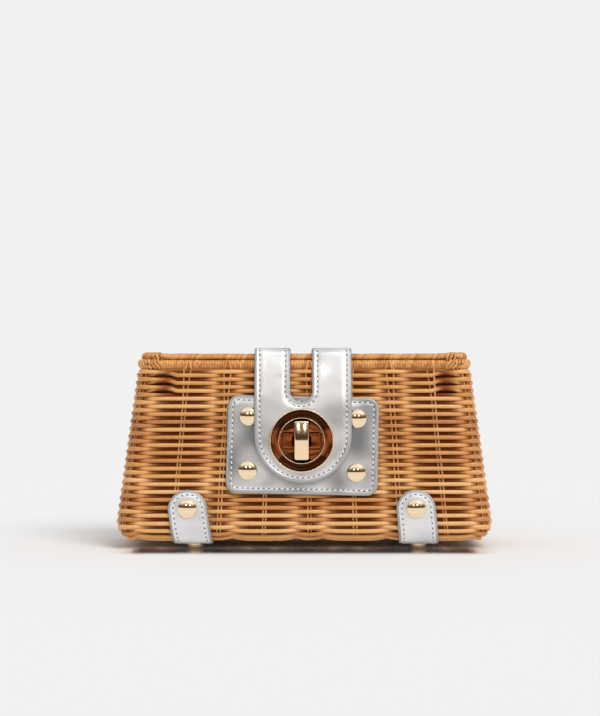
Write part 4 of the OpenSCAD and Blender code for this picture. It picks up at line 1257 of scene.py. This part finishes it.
patch_outline = plate_outline(PATCH_HALF_W, PATCH_HALF_H, PATCH_R)
hinge_outlines = []
end_v = hinge_path.v_of_z(HINGE_RIVET_Z)
for arm_left, arm_right in ((left, fork_left), (fork_right, right)):
    half, middle = (arm_right - arm_left) / 2, (arm_left + arm_right) / 2
    shape = straight(arm_right, 0, arm_right, end_v) + bow(middle, end_v, half, 0, 180, 26) \
        + straight(arm_left, end_v, arm_left, 0)[1:] + [(arm_left, 0)]
    hinge_outlines.append((shape, [0, len(shape) - 1]))
print("Outline points of the flap:", len(flap_outline))

# %% Cut leather
lock_v = flap_path.v_of_z(SLOT_Z, 50)
slot_window = (SLOT_X - SLOT_HOLE_X, SLOT_X + SLOT_HOLE_X, lock_v - SLOT_HOLE_V, lock_v + SLOT_HOLE_V)
flap_piece = cut_leather(
    "flap_leather", flap_outline, flap_path, flap_ends, relief=0.12, step=1.5, window=slot_window,
)
# The plate takes the darker copy of the leather, as painted shade
patch_piece = cut_leather(
    "lock_plate_leather", patch_outline, patch_path, relief=0.3, finish=leather_painted_darker, flat=True,
)
# The foot straps take the lighter copy of the leather, as painted light
foot_pieces = [
    cut_leather(f"foot_strap_leather_{side}", shape, foot_path, relief=0.08, finish=leather_painted_lighter)
    for side, shape in zip(SIDES, foot_outlines)
]
hinge_pieces = [
    cut_leather(f"hinge_leather_{side}", shape, hinge_path, ends, relief=0.08, step=1.5)
    for side, (shape, ends) in zip(SIDES, hinge_outlines)
]

# %% [markdown]
# ## Stitches
# A saddle-stitched seam is a row of short thick threads, each a little slanted,
# that lie in the furrow. The tree divides the seam's path by the stitch length and
# puts one rounded thread on every point, turned along the seam and flat on the
# leather.

# %% Stitch tree
tree, given = new_tree("stitches_along_a_seam", [
    ("Stitch spacing", "Float"), ("Stitch length", "Float"), ("Thread width", "Float"),
    ("Slant", "Float"), ("Shift", "Float"), ("Sink", "Float"), ("Material", "Material"),
])
stitch_tree = tree
path = add(tree, "GeometryNodeMeshToCurve", {}, {"Mesh": given["Geometry"]})
path = add(
    tree, "GeometryNodeResampleCurve", {"mode": "LENGTH"}, {"Curve": path, "Length": given["Stitch spacing"]},
)
face = add(tree, "GeometryNodeInputNamedAttribute", {"data_type": "FLOAT_VECTOR", "Name": "face"})
ahead = add(tree, "GeometryNodeInputTangent")
shift = add(tree, "ShaderNodeVectorMath", {"operation": "SCALE"}, {0: ahead, "Scale": given["Shift"]})
sink = add(tree, "ShaderNodeVectorMath", {"operation": "SCALE"}, {0: face, "Scale": given["Sink"]})
shift = add(tree, "ShaderNodeVectorMath", {"operation": "SUBTRACT"}, {0: shift, 1: sink})
path = add(tree, "GeometryNodeSetPosition", {}, {"Geometry": path, "Offset": shift})
across = add(tree, "ShaderNodeVectorMath", {"operation": "CROSS_PRODUCT"}, {0: face, 1: ahead})
lean_over = add(tree, "ShaderNodeVectorMath", {"operation": "SCALE"}, {0: across, "Scale": given["Slant"]})
ahead = add(tree, "ShaderNodeVectorMath", {"operation": "ADD"}, {0: ahead, 1: lean_over})
turned = add(tree, "FunctionNodeAlignRotationToVector", {"axis": "X"}, {"Vector": ahead})
turned = add(
    tree, "FunctionNodeAlignRotationToVector", {"axis": "Z", "pivot_axis": "X"},
    {"Rotation": turned, "Vector": face},
)
half_long = add(tree, "ShaderNodeMath", {"operation": "MULTIPLY", 1: 0.5}, {0: given["Stitch length"]})
half_wide = add(tree, "ShaderNodeMath", {"operation": "MULTIPLY", 1: 0.5}, {0: given["Thread width"]})
size = add(tree, "ShaderNodeCombineXYZ", {}, {"X": half_long, "Y": half_wide, "Z": half_wide})
bead = add(tree, "GeometryNodeMeshUVSphere", {"Segments": 8, "Rings": 6, "Radius": 1.0})
bead = add(tree, "GeometryNodeTransform", {}, {"Geometry": bead, "Scale": size})
bead = add(tree, "GeometryNodeSetShadeSmooth", {}, {"Geometry": bead})
row = add(tree, "GeometryNodeInstanceOnPoints", {}, {"Points": path, "Instance": bead, "Rotation": turned})
end_tree(tree, row, given["Material"])


def faced(name, lines, closed):
    """A mesh of chains, each point with the direction that its surface faces."""
    points, normals, edges = [], [], []
    for line in lines:
        first = len(points)
        points.extend(tuple(place) for place, _ in line)
        normals.extend(tuple(normal) for _, normal in line)
        edges.extend((first + i, first + i + 1) for i in range(len(line) - 1))
        if closed:
            edges.append((first + len(line) - 1, first))
    mesh = plain_mesh(name, points, edges=edges)
    mesh.attributes.new("face", "FLOAT_VECTOR", "POINT").data.foreach_set(
        "vector", np.asarray(normals, np.float32).ravel()
    )
    return mesh


STITCH_MM, STITCH_LONG, STITCH_WIDE = 3.3, 2.4, 0.9
HOLE_LONG, HOLE_WIDE, HOLE_SINK = 1.5, 0.8, 0.22


def beads(name, lines, closed, long, wide, material, slant=0.0, shift=0.0, sink=0.0):
    """Rounded beads along seams, all sizes in millimetres."""
    return grow(name, faced(name, lines, closed), stitch_tree, {
        "Stitch spacing": STITCH_MM * MM, "Stitch length": long * MM, "Thread width": wide * MM,
        "Slant": slant, "Shift": shift * MM, "Sink": sink * MM, "Material": material,
    })


def stitch(name, lines, closed):
    """Threads along seams, with a dark sunk bead between each two as the painted shade of a needle hole, as
    one piece.
    """
    threads = beads(name, lines, closed, STITCH_LONG, STITCH_WIDE, thread, slant=0.15)
    # painted shade: dark beads in the needle holes
    holes = beads(
        f"{name}_holes", lines, closed, HOLE_LONG, HOLE_WIDE, hole_painted_shade,
        shift=STITCH_MM / 2, sink=HOLE_SINK,
    )
    bm = bmesh.new()
    bm.from_mesh(threads.data)
    first = len(bm.faces)
    bm.from_mesh(holes.data)
    bm.faces.ensure_lookup_table()
    for face in bm.faces[first:]:
        face.material_index = len(threads.data.materials)
    bm.to_mesh(threads.data)
    bm.free()
    threads.data.materials.append(hole_painted_shade)
    bpy.data.objects.remove(holes)
    return threads


flap_seam = seam_line(flap_outline, flap_path, flap_ends)
flap_lines = [flap_seam[: len(outer_edge)], flap_seam[len(outer_edge) :]]
flap_stitches = stitch("flap_stitches", flap_lines, False)
patch_stitches = stitch("lock_plate_stitches", [seam_line(patch_outline, patch_path)], True)
foot_stitches = stitch("foot_strap_stitches", [seam_line(shape, foot_path) for shape in foot_outlines], True)
hinge_lines = [seam_line(shape, hinge_path, ends) for shape, ends in hinge_outlines]
hinge_stitches = stitch("hinge_stitches", hinge_lines, False)

# %% [markdown]
# The flap and the hinge straps are bent over the lid's edge where the lid and the flap turn. The places on
# their paths where each bend starts and ends are found, and these pieces are fixed where they lie. The plate
# behind the lock and the foot straps ride on the basket.

# %% Leather in place and on the basket
FLAP_BEND, HINGE_BEND = (123.6, 117.5), (112.5, 121.5)  # heights where a bend starts and ends
flap_start, flap_end = (flap_path.at(0, flap_path.v_of_z(z, 50), 0)[0] / 1000 for z in FLAP_BEND)
for piece in (flap_piece, flap_stitches):
    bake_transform(piece)
hinge_start, hinge_end = (hinge_path.at(0, hinge_path.v_of_z(z), 0)[0] / 1000 for z in HINGE_BEND)
for piece in (*hinge_pieces, hinge_stitches):
    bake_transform(piece)
for piece in (patch_piece, patch_stitches, *foot_pieces, foot_stitches):
    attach(piece, "basket")
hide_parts("closure_flap", "lid_strap_left", "lid_strap_right")
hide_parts("lock_patch")
for side, foot_piece, hinge_piece in zip(SIDES, foot_pieces, hinge_pieces):
    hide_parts(f"foot_strap_{side}")
    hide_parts(f"hinge_strap_{side}")

# %% [markdown]
# ## Rivets, caps and feet
# All the round metal parts are turned: one half of the outline is drawn and spun
# about its axis. The domed rivets, the flat caps inside and the feet are each
# made once. A tree then sets a copy on every point of a list, turned to face away
# from the wall. A dome is half an ellipse, so its rim mirrors the floor and the
# room on all sides, as a real one does.

# %% Turned parts
def turned(name, profile, sides, material):
    """Spins a list of radius and height pairs about the z axis. A radius of 0 closes it."""
    points, faces, rings = [], [], []
    for r, h in profile:
        if r == 0:
            rings.append([len(points)])
            points.append((0, 0, h))
        else:
            rings.append(list(range(len(points), len(points) + sides)))
            angles = [2 * math.pi * i / sides for i in range(sides)]
            points.extend((r * math.cos(a), r * math.sin(a), h) for a in angles)
    for low, high in zip(rings, rings[1:]):
        for i in range(sides):
            j = (i + 1) % sides
            corners = [low[i % len(low)], low[j % len(low)], high[j % len(high)], high[i % len(high)]]
            faces.append(list(dict.fromkeys(corners)))
    mesh = plain_mesh(name, points, faces)
    mesh.materials.append(material)
    for face in mesh.polygons:
        face.use_smooth = True
    return mesh


SHANK_R, SHANK_L, FOOT_SHANK_L = 1.4, 8.0, 8.2
RIVET_R, RIVET_H, RIVET_RIM = 6.0, 2.5, 0.3
CAP_R = 4.5
FOOT_R, FOOT_H, FOOT_RIM, FOOT_FLAT = 5.5, 3.2, 0.2, 2.4
DOME_STEPS = 10
dome = [(0, -SHANK_L), (SHANK_R, -SHANK_L), (SHANK_R, 0.0), (RIVET_R - 0.3, 0.0), (RIVET_R, 0.2)]
for i in range(DOME_STEPS):
    a = math.pi / 2 * i / DOME_STEPS
    dome.append((RIVET_R * math.cos(a), RIVET_RIM + (RIVET_H - RIVET_RIM) * math.sin(a)))
dome.append((0, RIVET_H))
flat_cap = [
    (0, 0.0), (CAP_R - 0.1, 0.0), (CAP_R, 0.15), (CAP_R, 0.4), (CAP_R - 0.35, 0.78), (CAP_R - 0.9, 0.82),
    (CAP_R - 1.5, 0.68), (1.6, 0.66), (1.3, 0.5), (0, 0.45),
]
dome_foot = [
    (0, -FOOT_SHANK_L), (SHANK_R, -FOOT_SHANK_L), (SHANK_R, 0.0), (FOOT_R - 0.2, 0.0), (FOOT_R, FOOT_RIM),
]
for a in np.radians(np.linspace(9, 90, 9)):
    r = FOOT_FLAT + (FOOT_R - FOOT_FLAT) * math.cos(a)
    dome_foot.append((r, FOOT_RIM + (FOOT_H - FOOT_RIM) * math.sin(a)))
dome_foot.append((0, FOOT_H))
shapes = {
    "rivet": turned("rivet_shape", dome, 40, gold), "cap": turned("cap_shape", flat_cap, 32, flat_gold),
    "foot": turned("foot_shape", dome_foot, 40, gold),
}
print("Turned shapes:", ", ".join(shapes))

# %% Tree that sets parts on points
tree, given = new_tree("parts_set_on_points", [
    ("Part", "Object"), ("Turn seed", "Int"), ("Material", "Material"),
])
set_tree = tree
face = add(tree, "GeometryNodeInputNamedAttribute", {"data_type": "FLOAT_VECTOR", "Name": "face"})
upright = add(tree, "FunctionNodeAlignRotationToVector", {"axis": "Z"}, {"Vector": face})
chance = add(
    tree, "FunctionNodeRandomValue", {"data_type": "FLOAT", 2: 0.0, 3: 6.28}, {"Seed": given["Turn seed"]},
)
spin = add(tree, "ShaderNodeCombineXYZ", {}, {"Z": chance})
upright = add(
    tree, "FunctionNodeRotateRotation", {"rotation_space": "LOCAL"}, {"Rotation": upright, "Rotate By": spin}
)
part = add(tree, "GeometryNodeObjectInfo", {}, {"Object": given["Part"]})
copies = add(
    tree, "GeometryNodeInstanceOnPoints", {},
    {"Points": given["Geometry"], "Instance": part.outputs["Geometry"], "Rotation": upright},
)
end_tree(tree, copies, given["Material"])
print("Setting tree has", len(set_tree.nodes), "nodes")


# %% Places of the round parts
def on_wall(x, z, w, way=-1):
    """A place w out of the front wall (way -1) or the back wall (1), and the way it faces."""
    normal = Vector((0, way * math.cos(LEAN), math.sin(LEAN)))
    return Vector((x, way * wall_y(z), z)) + normal * w, normal


def on_patch(x, y, w):
    """A place on the turned plate behind the lock, and the way it faces."""
    place, normal = on_wall(PATCH_X, PATCH_Z, w)
    up = Vector((0, math.sin(LEAN), math.cos(LEAN)))
    c, s = math.cos(PATCH_TURN), math.sin(PATCH_TURN)
    return place + Vector((1, 0, 0)) * (x * c + y * s) + up * (y * c - x * s), normal


def set_parts(name, kind, spots, nodes):
    """Sets a turned shape on each spot. nodes are the solids that the copies take the place of."""
    source = link(f"{kind}_master", shapes[kind])
    points = faced(name, [[spot] for spot in spots], False)
    plating = shapes[kind].materials[0]
    piece = grow(name, points, set_tree, {"Part": source, "Turn seed": 4, "Material": plating})
    bpy.data.objects.remove(source)
    dress([piece], "basket")
    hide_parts(*nodes)


PATCH_TOP, INNER = LEATHER_W + THICK, -3.2
PATCH_RIVET_X, PATCH_RIVET_Y = 33.6, 16.8


def fasten(prefix, node, tags, place_at):
    """Domed rivets outside and their flat caps inside the basket."""
    outside = [place_at(spot, PATCH_TOP) for spot in tags.values()]
    within = [(place, -normal) for place, normal in (place_at(spot, INNER) for spot in tags.values())]
    set_parts(f"{prefix}_rivets", "rivet", outside, [f"{node}_rivet_{tag}" for tag in tags])
    set_parts(f"{prefix}_rivet_caps", "cap", within, [f"{node}_cap_{tag}" for tag in tags])


plate_corners = {
    f"{row}_{side}": (x * PATCH_RIVET_X, y * PATCH_RIVET_Y)
    for row, y in (("upper", 1), ("lower", -1)) for side, x in zip(SIDES, (-1, 1))
}
foot_spots = {f"{face}_{side}": (way, side) for face, way in (("front", -1), ("back", 1)) for side in SIDES}
arms = {"left": (left + fork_left) / 2, "right": (fork_right + right) / 2}
fasten("plate", "patch", plate_corners, lambda spot, w: on_patch(*spot, w))
fasten("foot_strap", "foot", foot_spots,
       lambda spot, w: on_wall(FOOT_RIVET_X[spot[1]], FOOT_RIVET_Z, w, spot[0]))
fasten("hinge", "hinge", arms, lambda x, w: on_wall(x, HINGE_RIVET_Z, w, 1))
foot_y = HALF_D - (EDGE_INSET + FOOT_R + 0.3)
BASE_T = 3.2
feet = [Vector((FOOT_X[side], way * foot_y, 0)) for way, side in foot_spots.values()]
up = Vector((0, 0, 1))
set_parts("dome_feet", "foot", [(place + up * FOOT_H, -up) for place in feet],
          [f"foot_{tag}" for tag in foot_spots])
set_parts("foot_caps", "cap", [(place + up * (BASE_Z + BASE_T), up) for place in feet],
          [f"foot_nut_{tag}" for tag in foot_spots])

# %% [markdown]
# ## The turn lock
# The ring on the flap is a pressed dish: a thin bright lip, a steep inner wall and
# a flat floor, then a fine bead and a sunk disc with a slot. The plate behind
# shows in the slot, and the tongue stands upright across it. The slot's outline is
# found for each direction from the middle, so that the disc joins the bead in
# plain four-sided faces.

# %% Lock ring
LOCK_X, LOCK_Z = -1.7, 66.6
FLAP_OUT = FLAP_W + THICK
DISC_T, PLATE_T, BACK_R = 0.6, 0.7, 18.0
SLOT_L, SLOT_W, SLOT_R = 24.8, 10.8, 2.0


def lock_matrix():
    place, normal = on_wall(LOCK_X, LOCK_Z, 0)
    across, rise = Vector((1, 0, 0)), Vector((0, math.sin(LEAN), math.cos(LEAN)))
    matrix = Matrix((across, rise, normal)).transposed().to_4x4()
    matrix.translation = place / 1000
    return matrix


def slot_reach(angle, long, wide, r):
    """How far a rounded rectangle reaches from its middle in a direction."""
    c, s = abs(math.cos(angle)), abs(math.sin(angle))
    hx, hy = long / 2, wide / 2
    reach = min(hx / c if c > 1e-9 else 1e9, hy / s if s > 1e-9 else 1e9)
    x, y = reach * c, reach * s
    if x > hx - r and y > hy - r:
        cx, cy = hx - r, hy - r
        along = cx * c + cy * s
        reach = along + math.sqrt(max(0.0, r * r - (cx * cx + cy * cy - along * along)))
    return reach


def slot_angles(long, wide, r, steps):
    """Directions that pass through the corners of the slot."""
    end, side = long / 2, wide / 2
    corner = (end, side - r), (end - r * 0.3, side - r * 0.3), (end - r, side)
    marks = [0.0, *(math.atan2(y, x) for x, y in corner), math.pi / 2]
    quarter = []
    for a, b in zip(marks, marks[1:]):
        quarter.extend(np.linspace(a, b, steps, endpoint=False))
    half = quarter + [math.pi - a for a in reversed(quarter[1:] + [math.pi / 2])]
    return half + [a + math.pi for a in half]


def lock_part(name, loops, materials, pick=lambda row: 0):
    """Joins loops of equal length into a closed body, and paints its rows as pick says."""
    bm = bmesh.new()
    rings = [[bm.verts.new([c / 1000 for c in point]) for point in loop] for loop in loops]
    for row, (near, far) in enumerate(zip(rings, rings[1:] + rings[:1])):
        for i in range(len(near)):
            j = (i + 1) % len(near)
            face = bm.faces.new((near[i], near[j], far[j], far[i]))
            face.smooth = True
            face.material_index = pick(row)
    bmesh.ops.recalc_face_normals(bm, faces=bm.faces)
    mesh = finished_mesh(name, bm, materials)
    mesh.transform(lock_matrix())
    return link(name, mesh)


angles = slot_angles(SLOT_L, SLOT_W, SLOT_R, 7)


def circle_loop(r, h):
    return [(r * math.cos(a), r * math.sin(a), h) for a in angles]


def slot_loop(more, h):
    """A loop round the slot, larger than it by more on each side."""
    reaches = [slot_reach(a, SLOT_L + 2 * more, SLOT_W + 2 * more, SLOT_R + more) for a in angles]
    return [(reach * math.cos(a), reach * math.sin(a), h) for a, reach in zip(angles, reaches)]


# Radius and height over the leather: the lip, the dish and the bead round the disc
dish = [
    (19.3, 0.0), (19.75, 0.1), (19.8, 0.5), (19.8, 2.2), (19.7, 2.5), (19.45, 2.6), (19.2, 2.5), (19.05, 2.2),
    (18.7, 1.5), (18.1, 1.0), (17.2, 0.7), (16.2, 0.62), (14.7, 0.7), (14.45, 0.9), (14.3, 1.08),
    (14.12, 1.15), (13.96, 1.05), (13.85, 0.8), (13.8, 0.62),
]
# The rows of the lip and of the bead take the plain gold. The dish takes the darker gold, as painted
# reflection and shade.
BRIGHT_ROWS = (*range(7), *range(13, 16))
# How much larger than the slot the disc's loops are, and their height over the disc
slot_edge = [(0.45, 0.0), (0.3, 0.12), (0.12, 0.14), (0.0, 0.0)]
loops = [circle_loop(r, FLAP_OUT + h) for r, h in dish]
loops += [slot_loop(more, FLAP_OUT + DISC_T + h) for more, h in slot_edge]
loops += [slot_loop(0.0, FLAP_W - PLATE_T), slot_loop(0.7, FLAP_W - PLATE_T), slot_loop(0.7, FLAP_OUT)]
ring = lock_part("lock_ring", loops, [gold, gold_painted_darker], lambda row: 0 if row in BRIGHT_ROWS else 1)
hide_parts("eyelet_ring")
loops = [circle_loop(r, FLAP_W - h) for r, h in ((BACK_R, 0.0), (BACK_R, 0.6), (BACK_R - 0.1, PLATE_T))]
loops += [slot_loop(0.75, FLAP_W - PLATE_T), slot_loop(0.75, FLAP_W)]
ring_back = lock_part("lock_ring_back", loops, [flat_gold])
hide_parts("eyelet_back")
dress([ring, ring_back], "flap")

# %% [markdown]
# The plate behind lies on the leather and is held by two prongs, which are folded
# over a washer inside the basket. The washer is the solid itself, newly painted.

# %% Plate behind the slot
SEAT = FLAP_OUT + DISC_T - 0.5
BOSS_GAP, BORE_R = 0.6, 2.1
PRONG_X, PRONG_W, PRONG_T = 13.0, 3.2, 0.8
plate_top = PATCH_TOP + PLATE_T
# How much smaller than the slot the boss is, and its heights
boss = [(0.0, plate_top), (0.0, SEAT - 0.25), (0.12, SEAT - 0.05), (0.3, SEAT)]
edge = (BACK_R, PATCH_TOP), (BACK_R, plate_top - 0.15), (BACK_R - 0.15, plate_top)
loops = [circle_loop(r, h) for r, h in edge]
loops += [slot_loop(-BOSS_GAP - less, h) for less, h in boss]
loops += [circle_loop(BORE_R, SEAT), circle_loop(BORE_R, PATCH_TOP)]
# The plate is in the darker gold, as painted shade seen through the slot
plate = lock_part("lock_plate", loops, [gold_painted_darker])
prong_through = (PRONG_W, PRONG_T, 8.6), (0, PATCH_TOP - 4.0)
prong_folded = (PRONG_W, 5.0, PRONG_T), (2.1, -4.3)
bm = bmesh.new()
for x in (-PRONG_X, PRONG_X):
    for size, (y, z) in (prong_through, prong_folded):
        place = Matrix.Translation(Vector((x, y, z)) / 1000)
        bmesh.ops.create_cube(bm, size=1.0, matrix=place @ Matrix.Diagonal([*(c / 1000 for c in size), 1]))
bmesh.ops.bevel(bm, geom=bm.edges[:], offset=0.0002, segments=2, affect="EDGES")
mesh = finished_mesh("lock_prongs", bm, [flat_gold])
mesh.transform(lock_matrix())
prongs = link("lock_prongs", mesh)
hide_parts("lock_base")
dress([plate, prongs], "basket")
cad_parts["lock_washer"].data.materials.clear()
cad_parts["lock_washer"].data.materials.append(flat_gold)

# %% [markdown]
# The tongue is cast: a bar with a crown. Its lower half slopes down straight and
# mirrors the pale floor. Its upper half bends back and mirrors the room, with the
# windows as two small lights. Its edges are softened.

# %% Tongue
TONGUE_HALF, TONGUE_W, TONGUE_LOW = 12.1, 9.6, FLAP_OUT + DISC_T + 0.5
TONGUE_T, DRAFT, CROWN, EDGE_SOFT = 2.6, 0.6, 0.4, 0.35
POST_R, POST_L, POST_SINK = 2.0, 5.0, 2.2


def tongue_height(x, y):
    """Height of the tongue's top over its underside."""
    ridge = TONGUE_T - (0.03 * -y if y < 0 else 0.022 * y + 0.0062 * y * y)
    return ridge - CROWN * (x / (TONGUE_W / 2)) ** 2


ys = set(np.linspace(-TONGUE_HALF + 0.3, TONGUE_HALF - 0.3, 33))
ys = sorted(ys | {-TONGUE_HALF, -12.0, 12.0, TONGUE_HALF, -0.35, 0.0})
xs = np.concatenate([[-1.0, -0.985, -0.95], np.linspace(-0.88, 0.88, 13), [0.95, 0.985, 1.0]])
bm = bmesh.new()
top, low = [], []
for y in ys:
    near_end = (TONGUE_HALF - abs(y)) / EDGE_SOFT
    end_drop = EDGE_SOFT * (1 - math.sqrt(max(0.0, 1 - (1 - min(1.0, near_end)) ** 2)))
    reach = min(1.0, math.sqrt(max(0.0, TONGUE_HALF**2 * 1.002 - y * y)) / (TONGUE_W / 2) + 0.35)
    top_row, low_row = [], []
    for share in xs:
        x = share * TONGUE_W / 2 * reach
        side_drop = EDGE_SOFT * max(0.0, (abs(share) - 0.92) / 0.08) ** 2.2
        high = tongue_height(x, y) - side_drop - end_drop
        draft = 1 - DRAFT * high / TONGUE_T / (TONGUE_W / 2)
        top_row.append(bm.verts.new((x * draft / 1000, y / 1000, (TONGUE_LOW + high) / 1000)))
        low_row.append(bm.verts.new((x / 1000, y / 1000, TONGUE_LOW / 1000)))
    top.append(top_row)
    low.append(low_row)
for rows_now, flip in ((top, False), (low, True)):
    for a, b in zip(rows_now, rows_now[1:]):
        for i in range(len(xs) - 1):
            corner_verts = (a[i], a[i + 1], b[i + 1], b[i])
            bm.faces.new(corner_verts[::-1] if flip else corner_verts)
for i in range(len(xs) - 1):
    bm.faces.new((low[0][i], low[0][i + 1], top[0][i + 1], top[0][i]))
    bm.faces.new((low[-1][i], top[-1][i], top[-1][i + 1], low[-1][i + 1]))
for j in range(len(ys) - 1):
    bm.faces.new((low[j][0], top[j][0], top[j + 1][0], low[j + 1][0]))
    bm.faces.new((low[j][-1], low[j + 1][-1], top[j + 1][-1], top[j][-1]))
bmesh.ops.recalc_face_normals(bm, faces=bm.faces)
for face in bm.faces:
    face.smooth = True
bmesh.ops.create_cone(
    bm, cap_ends=True, segments=32, radius1=POST_R * MM, radius2=POST_R * MM, depth=POST_L * MM,
    matrix=Matrix.Translation((0, 0, (TONGUE_LOW - POST_SINK) / 1000)),
)
mesh = finished_mesh("lock_tongue_bar", bm, [gold])
mesh.transform(lock_matrix())
tongue = link("lock_tongue_bar", mesh)
dress([tongue], "lock")
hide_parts("lock_tongue")
print("Lock parts:", ring.name, plate.name, tongue.name)
